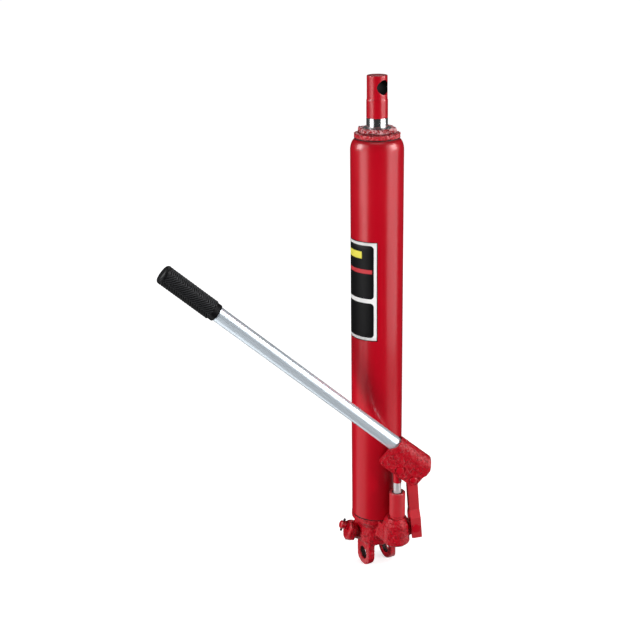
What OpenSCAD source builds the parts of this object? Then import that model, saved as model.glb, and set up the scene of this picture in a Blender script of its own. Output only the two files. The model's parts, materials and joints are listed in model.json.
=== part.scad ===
// Long ram hydraulic jack, shown closed with its pump handle raised.
// The origin is the middle of the lower clevis hole, +Z runs up the ram and +Y along the clevis hole.

/* [Clevis ends] */
// Bore of the clevis ears and of the ram eye
pin_bore = 16.5; // [12:0.5:18]
// Radius of the rounded end of a clevis ear
ear_r = 16.5; // [14:0.5:17.5]
// Thickness of one clevis ear
ear_t = 9; // [6:0.5:10]
// Clear gap between the clevis ears
ear_gap = 24; // [20:0.2:26]
// Height of the roof of the gap above the clevis hole
gap_roof = 18; // [17:0.5:22]

/* [Base casting] */
// Height of the tank seat above the clevis hole
seat_h = 57; // [55:1:65]
// Ledge of the tank seat outside the tank
seat_ledge = 0.75; // [0.5:0.25:3]
// Depth of the straight edge of the tank seat
seat_edge = 7; // [5:0.5:9]
// Diameter of the round body under the seat
drum_d = 51.5; // [50:0.5:56]
// Height of the foot of the round body above the clevis hole
drum_z = 14; // [12:0.5:18]
// Radius of the upright corners of the ears
ear_corner = 4; // [2:0.5:6]
// Distance of the pump's axis from the tank
pump_gap = 18.5; // [18.5:0.5:24]
// Diameter of the pump boss at its shoulder
boss_d = 33.5; // [31:0.5:36]
// Height of the pump boss
boss_h = 37; // [35:1:40]
// Rise of the pump boss above the tank seat
boss_rise = 13; // [10:0.5:16]
// Turn of the pump lever about the pump, away from the clevis hole, in degrees
lever_turn = 19; // [10:1:25]

/* [Tank] */
// Outside diameter of the oil tank
tank_d = 63; // [62:0.5:63.5]
// Wall of the oil tank
tank_wall = 2.5; // [1.5:0.25:3]
// Length of the oil tank
tank_len = 481.3; // [420:0.1:520]
// Radius of the rolled shoulder of the tank
shoulder_r = 7.5; // [6:0.25:8]
// Thickness of the seal under the tank
tank_seal_t = 1; // [0.6:0.1:2]
// Thickness of the seal under the head nut
top_seal_t = 0.5; // [0.4:0.1:2]

/* [Cylinder and ram] */
// Bore of the pressure cylinder
cylinder_bore = 32; // [30:0.5:34]
// Wall of the pressure cylinder
cylinder_wall = 4; // [3:0.25:4.5]
// Diameter of the ram
ram_d = 25; // [22:0.5:26]
// Bright length of ram that shows above the nut when closed
ram_show = 10.8; // [6:0.2:20]
// Diameter of the drilled end of the ram eye
eye_d = 24; // [23:0.25:25]
// Length of the plain shank of the ram eye
eye_shank = 21.2; // [16:0.2:30]
// Length of the drilled end of the ram eye
eye_len = 27.3; // [26:0.1:32]
// Turn of the ram eye about the ram, in degrees
eye_turn = 15; // [-90:1:90]

/* [Head nut] */
// Overhang of the head nut's round flange beyond the mouth of the tank
flange_lip = 2.25; // [2:0.25:3]
// Height of the round flange
flange_h = 6; // [5:0.1:9]
// Set of the hexagon's corners inside the edge of the flange
hex_inset = 3.25; // [2:0.25:5]
// Height of the hexagon
nut_hex_h = 6; // [5:0.25:10]
// Turn of the hexagon about the ram, in degrees
nut_turn = -18; // [-30:1:30]

/* [Pump] */
// Diameter of the pump barrel
barrel_d = 19.7; // [19:0.1:22]
// Height of the pump barrel above its boss
barrel_h = 35; // [30:1:36]
// Diameter of the pump plunger
plunger_d = 9.5; // [8:0.1:10]
// Bright length of plunger that shows above the barrel
plunger_show = 13.5; // [12.5:0.1:16]
// Diameter of the painted head of the plunger
head_d = 10.4; // [9:0.1:10.6]
// Height of the plunger pin above the foot of the painted head
head_rise = 21; // [18:0.5:26]
// Diameter of the plunger pin
plunger_pin_d = 7.5; // [6:0.25:8]
// Gap round the plunger pin that takes up the swing of the link
pivot_gap = 1.3; // [1.25:0.05:1.5]

/* [Link] */
// Distance between the plunger pin and the upper link pin
lever_arm = 23.5; // [22:0.1:26]
// Distance of the lower link pin from the pump
foot_y = 22.6; // [22:0.1:24]
// Height of the lower link pin above the clevis hole
foot_z = 57; // [54:0.5:60]
// Thickness of one link plate
link_t = 3; // [2:0.25:3.25]
// Width of one link plate
link_w = 12.6; // [11:0.2:13]
// Diameter of the two link pins
link_pin_d = 7; // [5:0.25:7.5]
// Sideways step of a link plate between its ends
link_step = 5.3; // [4:0.1:6]

/* [Handle] */
// Angle of the handle above level, in degrees
handle_angle = 41; // [38:0.5:44]
// Diameter of the handle tube
handle_d = 18.5; // [17:0.1:19]
// Wall of the handle tube
handle_wall = 1.75; // [1:0.25:3]
// Length of the handle beyond the plunger pin, with its grip
handle_reach = 381; // [300:1:450]
// Length of the grip
grip_len = 79; // [60:1:110]
// Diameter of the grip
grip_d = 24; // [22.5:0.5:25]
// Outside diameter of the handle socket at its closed end
socket_d = 27; // [26:0.1:28]
// Outside diameter of the handle socket at its mouth
mouth_d = 25; // [24.5:0.1:27]
// Width of the socket across its cheeks
cheek_w = 24; // [22:0.5:25]
// Distance of the handle's axis from the plunger pin
socket_lift = 21.3; // [21:0.1:23]

/* [Release valve] */
// Size across the flats of the release valve boss
valve_hex = 26; // [20:0.5:28]
// Length of the release valve boss
valve_hex_h = 11; // [8:0.5:14]
// Diameter of the valve spindle
spindle_d = 7.5; // [6:0.25:8]
// Diameter of the head of the spindle
spindle_head_d = 10.5; // [9:0.25:12]
// Length of the cross pin in the head of the spindle
cross_pin_len = 17; // [14:0.5:20]

/* [Hidden] */
$fn = 72;
RED = [0.72, 0.03, 0.07];
STEEL = [0.82, 0.82, 0.84];
ZINC = [0.78, 0.83, 0.86];
DARK = [0.10, 0.10, 0.11];
BRASS = [0.75, 0.60, 0.30];
COPPER = [0.72, 0.42, 0.28];

// Clearances, and the overrun of a cut past a face
cut = 1;
fit = 0.02;       // radial gap between fixed pieces
run = 0.05;       // radial gap of a running fit
side_gap = 0.2;   // gap beside a piece that swings
end_gap = 0.3;    // gap at the end of a piece that slides
facet = 0.6;      // small bevel on machined edges

// Heights up the ram axis
tank_z = seat_h + tank_seal_t;
tank_top = tank_z + tank_len;
flange_z = tank_top + top_seal_t;
nut_hex_z = flange_z + flange_h;
nut_top = nut_hex_z + nut_hex_h;
ram_top = nut_top + ram_show;
eye_z = ram_top + eye_shank;
eye_top = eye_z + eye_len;
eye_lip = 1.5;    // metal above the circle of the eye
eye_hole_z = eye_top - eye_d / 2 - eye_lip;
eye_stud_d = 14;  // stud of the ram in the eye
eye_stud_h = 12;

// Base casting
body_y = ear_gap / 2 + ear_t;
seat_d = tank_d + 2 * seat_ledge;
pump_offset = tank_d / 2 + pump_gap;
seat_z = seat_h - seat_edge;
cone_h = 8;       // height of the cone under the seat
drum_bevel = 6;   // bevel round the foot of the round body
gap_round = 4;    // radius of the corners of the gap's roof
boss_inset = 2.5; // set of the boss's axis towards the tank
boss_top = seat_h + boss_rise;
boss_z = boss_top - boss_h;
boss_cap = 8;     // height of the sloping top of the boss
boss_top_r = 12.5;
boss_flare = 0.7; // growth of the boss's radius towards its foot
boss_foot = 3;    // bevel round the foot of the boss
web_w = 28;       // width of the web from the body to the boss
lug_r = 7;        // radius of the link lug
lug_drop = 20;    // foot of the lug's root below the lower link pin
lug_set = 4;      // top of the lug's root below the lower link pin

// Tank
tank_bore = tank_d - 2 * tank_wall;
mouth_grow = 1; // radius of the mouth beyond the centre of the rolled shoulder
mouth_r = tank_d / 2 - shoulder_r + mouth_grow;
flange_d = 2 * (mouth_r + flange_lip);
nut_hex_d = flange_d - 2 * hex_inset;
roll_out = acos(mouth_grow / shoulder_r);
roll_in = acos(mouth_grow / (shoulder_r - tank_wall));
roll_z = tank_top - shoulder_r * sin(roll_out);
roll_steps = 8;
seal_lip = 1;     // set of a flat seal inside the edge of what it seals
filler_share = 0.93;
filler_turn = 149;
filler_d = 9;
filler_head_d = 14;
filler_head_h = 2.5;

// Pressure cylinder and head nut
cylinder_d = cylinder_bore + 2 * cylinder_wall;
cylinder_sink = 12; // depth of the cylinder's seat in the base
washer_t = 1.5;
cylinder_z = seat_h - cylinder_sink + washer_t;
skirt_h = 20;     // depth of the head nut inside the tank
cup_depth = 9;    // depth of the cylinder in the head nut
nut_foot = flange_z - skirt_h;
cylinder_top = nut_foot + cup_depth;
gland_wall = 2.75;
gland_d = ram_d + 2 * gland_wall;
gland_h = 6;
wiper_wall = 4;
wiper_d = ram_d + 2 * wiper_wall;
wiper_h = 4;
hex_bevel = 1.2;  // bevel on the top of the hexagon

// Piston, from its lock nut up to the stop collar
foot_gap = 2;     // gap under the closed piston
lock_z = cylinder_z + foot_gap;
lock_h = 5;
lock_d = 24;
cup_z = lock_z + lock_h;
cup_h = 5;
ring_z = cup_z + cup_h;
ring_h = 3;
piston_z = ring_z + ring_h;
piston_h = 10;
ram_foot = piston_z + piston_h;
stud_d = 14;      // stud of the ram that carries the piston
collar_h = 20;
collar_gap = 0.25;
collar_d = cylinder_bore - 2 * collar_gap;

// Pump, on its own axis
barrel_z = boss_top;
barrel_top = barrel_z + barrel_h;
barrel_sink = 18; // depth of the barrel in its boss
root_d = 15;      // diameter of the sunk part of the barrel
neck_d = 17.5;    // neck at the foot of the barrel
neck_h = 4;
pump_washer_t = 1;
chamber_h = 4;    // depth of the pump chamber below the barrel
chamber_z = barrel_z - barrel_sink - chamber_h;
head_z = barrel_top + plunger_show;
pin_z = head_z + head_rise;
plunger_room = 13; // room under the raised plunger
plunger_z = chamber_z + plunger_room;
ring_wall = 2;    // radial width of the plunger's seal
seal_h = 4;       // height of the plunger's seal
head_stud_d = 6;
head_stud_h = 8;
head_w = 10;      // thickness of the plunger's eye
pivot_d = plunger_pin_d + 2 * pivot_gap;
pivot_wall = 2.5; // wall round the open pivot
head_eye_r = pivot_d / 2 + pivot_wall;
// The eye sits off the pin by the middle of the swing that it takes up
pivot_y = 0.6;
pivot_drop = 0.55;

// Link: x across the lever, y away from the handle, from the pump's axis
head_gap = 0.5;   // gap beside the plunger's eye
slot_w = head_w + 2 * head_gap;
link_in = slot_w / 2 - side_gap - link_t;
foot_in = link_in + link_step;
foot_out = foot_in + link_t;
lug_w = 2 * (foot_in - side_gap);
pin_y = lever_arm * cos(handle_angle);
link_pin_z = pin_z - lever_arm * sin(handle_angle);
link_len = norm([pin_y - foot_y, link_pin_z - foot_z]);
link_lean = asin((foot_y - pin_y) / link_len);
link_tail = 13.5; // length of a plate below its lower pin
step_z = 14;      // start of the sideways step above the lower pin
step_h = 10;

// Socket: y towards its back and z square to the handle, from the plunger pin
socket_r = socket_d / 2;
socket_top = socket_lift + socket_r;
mouth_top_y = -22.5;
mouth_side_y = -24;
mouth_low_y = -29.6;
mouth_low_z = 12.4;
toe_y = -24;      // lower front corner of the cheeks
cheek_drop = 8.2; // cheeks below the line of the pins
plan_bevel = 3;   // bevel of the back corners, seen square to the handle
mouth_far_y = -18.5; // front of the side away from the lever's pin heads
mouth_sink_d = 22.4;
mouth_sink = 8;   // depth of the wider mouth of the socket's bore
slot_front_y = -14;
slot_roof = head_eye_r + pivot_gap + 2 * side_gap;
tube_end_y = 24;
bore_end_y = tube_end_y + end_gap;
back_wall = 9;    // metal behind the end of the handle
back_y = tube_end_y + back_wall;
back_bevel = 8;   // slope of the back end up to its top
lobe_r = cheek_drop;
pad_y = 12;       // edge of the raised pad round the plunger pin
pad_t = 1.3;      // depth of the step behind that pad
pad_z = 12;       // top of that step
slit_w = 1.3;     // narrow mould slit along the top of the step
slit_len = 7;
slit_set = 1.5;
socket_gap = 0.1; // radial gap of the handle in its socket

// Pins and clips of the linkage
pin_head_t = 1.8;
plunger_pin_head_d = 9.4;
link_pin_head_d = 8.6;
foot_pin_head_d = 11.5;
pin_tail = 2.5;   // pin beyond its clip's near face
clip_t = 1.2;
clip_d = 11;

// Handle
tube_wall_end = 4; // closed end of the grip
tube_tip_y = -(handle_reach - tube_wall_end);
grip_y = -(handle_reach - grip_len);
grip_round = 4;
grip_steps = 8;
cuff_len = 6;     // plain cuff at the near end of the grip
cuff_step = 1.25;
cuff_d = grip_d - 2 * cuff_step;

// Release valve, z out along its spindle from the face of the boss
valve_turn = -106;
valve_tilt = 20;
valve_out = 6.75; // face of the valve boss beyond the tank seat
valve_reach = seat_d / 2 + valve_out;
valve_z = 38.5;
valve_drop = 5;   // middle of the boss below the spindle
valve_face_d = 22; // round face of the boss inside its bevelled corners
valve_root_d = 19;
valve_root_h = 26;
valve_bore_d = 9;
valve_bore_h = 24;
gland_nut_d = 13.5;
gland_nut_h = 2.2;
spindle_in = 17;  // spindle inside the boss
spindle_neck = 2.7; // spindle between the boss and its head
spindle_head_h = 7.5;
cross_pin_d = 3;
spindle_seal_h = 3;

// Check valves, each with its ball under its seat
check_d = 7;
ball_d = 6;
port_d = 3;
plug_d = 10;
plug_h = 5;
key_d = 5;
key_h = 2.5;
spring_d = 5.6;
spring_bore = 3.6;
check_h = 13;     // depth of a check valve's bore
ball_gap = 0.03;
ball_under = sqrt(pow(ball_d, 2) - pow(port_d, 2)) / 2 + ball_gap;
ball_over = sqrt(pow(ball_d, 2) - pow(spring_bore, 2)) / 2 + ball_gap;
suction_x = drum_d / 4 + pump_offset / 2;
relief_z = 33;

// Frames

// Lever: x across the lever away from the tank, y away from the handle, on the pump's axis
module in_lever() {
    translate([pump_offset, 0, 0]) rotate([0, 0, -lever_turn]) children();
}

// Socket: y along the handle towards its inner end, z square to it, at the plunger pin
module in_socket() {
    in_lever() translate([0, 0, pin_z]) rotate([-handle_angle, 0, 0]) children();
}

// Link: z up the link from its lower pin
module in_link() {
    in_lever() translate([0, foot_y, foot_z]) rotate([link_lean, 0, 0]) children();
}

// Release valve: z out along the spindle, x downwards across it
module in_valve() {
    rotate([0, 0, valve_turn]) translate([valve_reach, 0, valve_z]) rotate([0, 90 - valve_tilt, 0])
        children();
}

// Relief valve: z out along its bore, on the side of the body away from the pump
module in_relief() {
    translate([-drum_d / 2, 0, relief_z]) rotate([0, -90, 0]) children();
}

// Shapes

// Ring on the z axis
module ring(d, bore, h) {
    difference() {
        cylinder(d = d, h = h);
        translate([0, 0, -cut]) cylinder(d = bore, h = h + 2 * cut);
    }
}

// Turned disc with both edges bevelled
module turned(d, h, bevel) {
    r = d / 2;
    rotate_extrude() polygon([[0, 0], [r - bevel, 0], [r, bevel], [r, h - bevel], [r - bevel, h], [0, h]]);
}

// Outline in y and z, made w wide about x = 0
module across(w) {
    translate([-w / 2, 0, 0]) rotate([90, 0, 90]) linear_extrude(w) children();
}

// Cylinder along x, from x = from to x = to
module x_bar(d, from, to) {
    translate([from, 0, 0]) rotate([0, 90, 0]) cylinder(d = d, h = to - from);
}

// Pin along x with a bevelled head beyond x = face, and its tail at x = tail
module headed_pin(d, head_d, face, tail) {
    x_bar(d, tail, face);
    translate([face, 0, 0]) rotate([0, 90, 0]) rotate_extrude()
        polygon([[0, 0], [head_d / 2, 0], [head_d / 2, pin_head_t / 2],
            [head_d / 2 - pin_head_t / 2, pin_head_t], [0, pin_head_t]]);
}

// Clip on a pin, beyond x = -face
module clip(d, face) {
    translate([-face - clip_t, 0, 0]) rotate([0, 90, 0]) ring(clip_d, d + 2 * fit, clip_t);
}

// Base casting

module rounded_plan(w, l, r) {
    square([w, l - 2 * r], center = true);
    square([w - 2 * r, l], center = true);
    for (x = [-1, 1], y = [-1, 1]) translate([x * (w / 2 - r), y * (l / 2 - r)]) circle(r);
}

// Outline of the ears in x and z, up into the round body
module ear_outline() {
    circle(ear_r);
    translate([-ear_r, 0]) square([2 * ear_r, drum_z + drum_bevel + cut]);
}

module ears() {
    intersection() {
        rotate([90, 0, 0]) linear_extrude(2 * body_y + 2 * cut, center = true) ear_outline();
        translate([0, 0, -ear_r - cut]) linear_extrude(2 * ear_r + seat_z)
            rounded_plan(2 * ear_r, 2 * body_y, ear_corner);
    }
}

// Round body with a bevelled foot, and the tank seat on it
module seat() {
    r = drum_d / 2;
    rotate_extrude() polygon([[0, drum_z], [r - drum_bevel, drum_z], [r, drum_z + drum_bevel],
        [r, seat_z - cone_h], [seat_d / 2 - facet, seat_z], [seat_d / 2, seat_z + facet],
        [seat_d / 2, seat_h], [0, seat_h]]);
}

module clevis_gap() {
    w = ear_gap;
    low = ear_r + cut;
    rotate([90, 0, 90]) linear_extrude(drum_d + 2 * cut, center = true) {
        translate([-w / 2, -low]) square([w, low + gap_roof - gap_round]);
        translate([-w / 2 + gap_round, -low]) square([w - 2 * gap_round, low + gap_roof]);
        for (s = [-1, 1]) translate([s * (w / 2 - gap_round), gap_roof - gap_round]) circle(gap_round);
    }
}

module pump_boss() {
    r = boss_d / 2;
    foot_r = r + boss_flare;
    translate([pump_offset - boss_inset, 0, boss_z]) rotate_extrude()
        polygon([[0, 0], [foot_r - boss_foot, 0], [foot_r, boss_foot], [r, boss_h - boss_cap],
            [boss_top_r, boss_h], [0, boss_h]]);
    translate([0, -web_w / 2, boss_z]) cube([pump_offset, web_w, seat_h - boss_z]);
}

module link_lug() {
    in_lever() across(lug_w) {
        translate([foot_y, foot_z]) circle(lug_r);
        polygon([[0, foot_z - lug_drop], [foot_y, foot_z - lug_r], [foot_y, foot_z + lug_r],
            [foot_y - lug_r, foot_z], [0, foot_z - lug_set]]);
    }
}

module valve_boss() {
    in_valve() {
        translate([valve_drop, 0, -valve_hex_h]) intersection() {
            cylinder(d = valve_hex / cos(30), h = valve_hex_h, $fn = 6);
            cylinder(d1 = valve_face_d + 2 * valve_hex_h, d2 = valve_face_d, h = valve_hex_h);
        }
        translate([valve_drop, 0, -valve_root_h]) cylinder(d = valve_root_d, h = valve_root_h - facet);
    }
}

// Bore of a check valve, its plug's seat and the port over it, from its mouth at z = 0
module check_bore(port_h) {
    translate([0, 0, -cut]) cylinder(d = check_d, h = check_h + cut);
    translate([0, 0, -cut]) cylinder(d = plug_d + 2 * fit, h = plug_h + cut);
    translate([0, 0, check_h - cut]) cylinder(d = port_d, h = port_h + cut);
}

module base_casting() {
    color(RED) difference() {
        union() {
            seat();
            ears();
            pump_boss();
            link_lug();
            valve_boss();
        }
        clevis_gap();
        translate([0, 0, seat_h]) cylinder(d = tank_d + 2 * side_gap, h = boss_rise + cut);
        rotate([90, 0, 0]) cylinder(d = pin_bore, h = 2 * body_y + 2 * cut, center = true);
        translate([0, 0, seat_h - cylinder_sink]) cylinder(d = cylinder_d + 2 * fit, h = cylinder_sink + cut);
        translate([pump_offset, 0, barrel_z - barrel_sink])
            cylinder(d = root_d + 2 * fit, h = barrel_sink + cut);
        translate([pump_offset, 0, chamber_z]) cylinder(d = plunger_d + 2 * run, h = barrel_z - chamber_z);
        translate([pump_offset, 0, boss_z]) check_bore(chamber_z - boss_z - check_h + cut);
        translate([suction_x, 0, boss_z]) check_bore(2 * cut);
        in_relief() mirror([0, 0, 1]) check_bore(2 * cut);
        in_valve() {
            translate([0, 0, -valve_bore_h]) cylinder(d = valve_bore_d, h = valve_bore_h + cut);
        }
        in_lever() translate([0, foot_y, foot_z])
            x_bar(link_pin_d + 2 * fit, -lug_w / 2 - cut, lug_w / 2 + cut);
    }
}

// Tank and head

module tank_seal() {
    color(DARK) translate([0, 0, seat_h])
        ring(tank_d - seal_lip, tank_bore - seal_lip, tank_seal_t);
}

module reservoir_tube() {
    x = tank_d / 2 - shoulder_r;
    out_r = shoulder_r;
    in_r = shoulder_r - tank_wall;
    color(RED) difference() {
        rotate_extrude() polygon(concat(
            [[tank_bore / 2, tank_z], [tank_d / 2 - facet, tank_z], [tank_d / 2, tank_z + facet]],
            [for (i = [0:roll_steps]) let (a = roll_out * i / roll_steps)
                [x + out_r * cos(a), roll_z + out_r * sin(a)]],
            [for (i = [roll_steps:-1:0]) let (a = roll_in * i / roll_steps)
                [x + in_r * cos(a), roll_z + in_r * sin(a)]]));
        rotate([0, 0, filler_turn]) translate([0, 0, filler_z()]) x_bar(filler_d, cut, tank_d);
    }
}

function filler_z() = tank_z + filler_share * tank_len;

module filler_plug() {
    color(DARK) rotate([0, 0, filler_turn]) translate([0, 0, filler_z()]) {
        x_bar(filler_d - 2 * fit, tank_bore / 2 - cut, tank_d / 2);
        x_bar(filler_head_d, tank_d / 2, tank_d / 2 + filler_head_h);
    }
}

module cylinder_washer() {
    color(COPPER) translate([0, 0, seat_h - cylinder_sink])
        ring(cylinder_d, cylinder_bore, washer_t);
}

module pressure_cylinder() {
    color(STEEL) translate([0, 0, cylinder_z]) ring(cylinder_d, cylinder_bore, cylinder_top - cylinder_z);
}

module top_seal() {
    color(DARK) translate([0, 0, tank_top]) ring(flange_d - seal_lip, 2 * mouth_r, top_seal_t);
}

module head_nut() {
    color(RED) difference() {
        union() {
            translate([0, 0, nut_foot]) cylinder(r = mouth_r - run, h = skirt_h + cut);
            translate([0, 0, flange_z]) turned(flange_d, flange_h, facet);
            rotate([0, 0, nut_turn]) intersection() {
                translate([0, 0, nut_hex_z - cut]) cylinder(d = nut_hex_d, h = nut_hex_h + cut, $fn = 6);
                translate([0, 0, nut_hex_z - cut]) cylinder(d1 = nut_hex_d + 2 * (nut_hex_h + cut),
                    d2 = nut_hex_d - hex_bevel, h = nut_hex_h + cut);
            }
        }
        translate([0, 0, nut_foot - cut]) cylinder(d = ram_d + 2 * run, h = nut_top - nut_foot + 2 * cut);
        translate([0, 0, nut_foot - cut]) cylinder(d = cylinder_d + 2 * fit, h = cup_depth + cut);
        translate([0, 0, cylinder_top - cut]) cylinder(d = gland_d, h = gland_h + cut);
        translate([0, 0, nut_top - wiper_h]) cylinder(d = wiper_d, h = wiper_h + cut);
    }
}

module rod_seal() {
    color(DARK) translate([0, 0, cylinder_top]) ring(gland_d - 2 * fit, ram_d + 2 * run, gland_h);
}

module wiper() {
    color(DARK) translate([0, 0, nut_top - wiper_h])
        ring(wiper_d - 2 * fit, ram_d + 2 * run, wiper_h - end_gap);
}

// Ram and piston

module ram() {
    color(STEEL) {
        translate([0, 0, lock_z]) cylinder(d = stud_d, h = ram_foot - lock_z);
        translate([0, 0, ram_foot]) cylinder(d = ram_d, h = ram_top - ram_foot);
        translate([0, 0, ram_top]) cylinder(d = eye_stud_d, h = eye_stud_h);
    }
}

module ram_eye() {
    r = eye_d / 2;
    R = ram_d / 2;
    color(RED) rotate([0, 0, eye_turn]) difference() {
        translate([0, 0, ram_top]) rotate_extrude()
            polygon([[0, 0], [R, 0], [R, eye_shank - facet], [r, eye_shank], [r, eye_shank + eye_len - facet],
                [r - facet, eye_shank + eye_len], [0, eye_shank + eye_len]]);
        translate([0, 0, ram_top - cut]) cylinder(d = eye_stud_d + 2 * fit, h = eye_stud_h + cut + end_gap);
        translate([0, 0, eye_hole_z]) x_bar(pin_bore, -eye_d, eye_d);
    }
}

module on_stud(d, z, h, gap) {
    translate([0, 0, z]) ring(d, stud_d + 2 * gap, h);
}

module piston() {
    color(STEEL) on_stud(cylinder_bore - 2 * run, piston_z, piston_h, fit);
}

module cup_seal() {
    color(DARK) on_stud(cylinder_bore - 2 * run, cup_z, cup_h, run);
}

module backup_ring() {
    color(BRASS) on_stud(cylinder_bore - 2 * run, ring_z, ring_h, run);
}

module lock_nut() {
    color(STEEL) translate([0, 0, lock_z]) difference() {
        cylinder(d = lock_d, h = lock_h, $fn = 6);
        translate([0, 0, -cut]) cylinder(d = stud_d + 2 * fit, h = lock_h + 2 * cut);
    }
}

module stop_collar() {
    color(STEEL) translate([0, 0, ram_foot]) ring(collar_d, ram_d + 2 * fit, collar_h);
}

// Pump

module pump_washer() {
    color(COPPER) translate([pump_offset, 0, barrel_z - barrel_sink])
        ring(root_d, plunger_d + 2 * run, pump_washer_t);
}

module pump_barrel() {
    r = barrel_d / 2;
    color(RED) translate([pump_offset, 0, 0]) difference() {
        union() {
            translate([0, 0, barrel_z - barrel_sink + pump_washer_t])
                cylinder(d = root_d, h = barrel_sink - pump_washer_t + cut);
            translate([0, 0, barrel_z]) rotate_extrude()
                polygon([[0, 0], [neck_d / 2, 0], [neck_d / 2, neck_h / 2], [r, neck_h],
                    [r, barrel_h - facet], [r - facet, barrel_h], [0, barrel_h]]);
        }
        translate([0, 0, barrel_z - barrel_sink]) cylinder(d = plunger_d + 2 * run, h = barrel_top);
        translate([0, 0, barrel_top - seal_h]) cylinder(d = plunger_d + 2 * ring_wall, h = seal_h + cut);
    }
}

module plunger_seal() {
    color(DARK) translate([pump_offset, 0, barrel_top - seal_h])
        ring(plunger_d + 2 * ring_wall - 2 * fit, plunger_d + 2 * run, seal_h - end_gap);
}

module plunger_rod() {
    color(STEEL) translate([pump_offset, 0, 0]) {
        translate([0, 0, plunger_z]) cylinder(d = plunger_d, h = head_z - plunger_z);
        translate([0, 0, head_z]) cylinder(d = head_stud_d, h = head_stud_h);
    }
}

module plunger_head() {
    color(RED) in_lever() difference() {
        union() {
            translate([0, 0, head_z]) cylinder(d = head_d, h = head_rise - pivot_drop);
            translate([0, pivot_y, pin_z - pivot_drop]) x_bar(2 * head_eye_r, -head_w / 2, head_w / 2);
        }
        translate([0, 0, head_z - cut]) cylinder(d = head_stud_d + 2 * fit, h = head_stud_h + cut + end_gap);
        translate([0, pivot_y, pin_z - pivot_drop]) x_bar(pivot_d, -head_d, head_d);
    }
}

// Socket and linkage pins

// Side outline of the socket and its cheeks
module socket_outline() {
    translate([lever_arm, 0]) circle(lobe_r);
    polygon([[mouth_top_y, socket_top + cut], [mouth_side_y, socket_lift], [mouth_low_y, mouth_low_z],
        [toe_y, -cheek_drop], [lever_arm, -cheek_drop], [lever_arm + lobe_r, 0],
        [lever_arm + lobe_r, cheek_drop], [back_y, socket_lift - socket_r / 2],
        [back_y - back_bevel / 10, socket_lift], [back_y - back_bevel * 0.7, socket_top - socket_r / 3],
        [back_y - back_bevel, socket_top], [back_y - back_bevel - cut, socket_top + cut]]);
}

// The same seen square to the handle, with its mouth cut askew
module socket_plan() {
    x = socket_r + cut;
    polygon([[x, mouth_low_y - cut], [x, back_y - plan_bevel], [x - plan_bevel, back_y],
        [plan_bevel - x, back_y], [-x, back_y - plan_bevel], [-x, mouth_far_y]]);
}

module socket_body() {
    l = back_y - mouth_low_y;
    intersection() {
        across(socket_d + 2 * cut) socket_outline();
        translate([0, 0, -cheek_drop - cut]) linear_extrude(socket_top + cheek_drop + 3 * cut) socket_plan();
        union() {
            translate([0, mouth_low_y, socket_lift]) rotate([-90, 0, 0])
                cylinder(d1 = mouth_d, d2 = socket_d, h = l + cut);
            translate([-cheek_w / 2, mouth_low_y - cut, -cheek_drop - cut])
                cube([cheek_w, l + 2 * cut, socket_lift + cheek_drop + cut]);
        }
    }
}

// Cut of one cheek's outer face behind the pad, on the side s
module pad_step(s) {
    translate([s * (cheek_w - pad_t) - cheek_w / 2, pad_y, -cheek_drop - cut])
        cube([cheek_w, back_y, cheek_drop + cut + pad_z]);
}

module handle_socket() {
    color(RED) in_socket() difference() {
        socket_body();
        translate([0, mouth_low_y - cut, socket_lift]) rotate([-90, 0, 0])
            cylinder(d = handle_d + 2 * socket_gap, h = bore_end_y - mouth_low_y + cut);
        translate([0, mouth_low_y - cut, socket_lift]) rotate([-90, 0, 0])
            cylinder(d = mouth_sink_d, h = mouth_side_y + mouth_sink - mouth_low_y + cut);
        translate([-slot_w / 2, slot_front_y, -cheek_drop - cut])
            cube([slot_w, back_y + lever_arm, cheek_drop + cut + slot_roof]);
        x_bar(plunger_pin_d + 2 * fit, -cheek_w, cheek_w);
        translate([0, lever_arm, 0]) x_bar(link_pin_d + 2 * fit, -cheek_w, cheek_w);
        for (s = [-1, 1]) pad_step(s);
        translate([cheek_w / 2 - 2 * pad_t, pad_y + slit_set, pad_z - slit_w])
            cube([cheek_w, slit_len, slit_w]);
    }
}

module plunger_pin() {
    face = cheek_w / 2;
    color(RED) in_socket() headed_pin(plunger_pin_d, plunger_pin_head_d, face, -face - pin_tail);
}

module plunger_pin_clip() {
    color(STEEL) in_socket() clip(plunger_pin_d, cheek_w / 2);
}

module link_pin() {
    face = cheek_w / 2 - pad_t;
    color(RED) in_socket() translate([0, lever_arm, 0])
        headed_pin(link_pin_d, link_pin_head_d, face, -face - pin_tail);
}

module link_pin_clip() {
    color(STEEL) in_socket() translate([0, lever_arm, 0]) clip(link_pin_d, cheek_w / 2 - pad_t);
}

// Link

module link_outline() {
    w = link_w / 2;
    translate([0, link_len]) circle(w);
    polygon([[-w, -link_tail + facet], [-w + facet, -link_tail], [w - facet, -link_tail],
        [w, -link_tail + facet], [w, link_len], [-w, link_len]]);
}

// Edge view of the near plate with its sideways step, in x and z
module link_bend() {
    polygon([[foot_in, -link_tail - cut], [foot_out, -link_tail - cut], [foot_out, step_z],
        [link_in + link_t, step_z + step_h], [link_in + link_t, link_len + link_w],
        [link_in, link_len + link_w], [link_in, step_z + step_h], [foot_in, step_z]]);
}

// Near plate in the lever's frame
module link_plate() {
    translate([0, foot_y, foot_z]) rotate([link_lean, 0, 0]) difference() {
        intersection() {
            across(2 * foot_out + cut) link_outline();
            rotate([90, 0, 0]) linear_extrude(link_w + cut, center = true) link_bend();
        }
        x_bar(link_pin_d + 2 * run, 0, foot_out + cut);
        translate([0, 0, link_len]) x_bar(link_pin_d + 2 * run, 0, foot_out + cut);
    }
}

module near_link() {
    color(RED) in_lever() link_plate();
}

module far_link() {
    color(RED) in_lever() mirror([1, 0, 0]) link_plate();
}

module link_spacer() {
    w = 2 * (link_in - side_gap / 2);
    color(STEEL) in_link() translate([-w / 2, 0, link_len]) rotate([0, 90, 0])
        ring(link_w - 2 * facet, link_pin_d + 2 * run, w);
}

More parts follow.
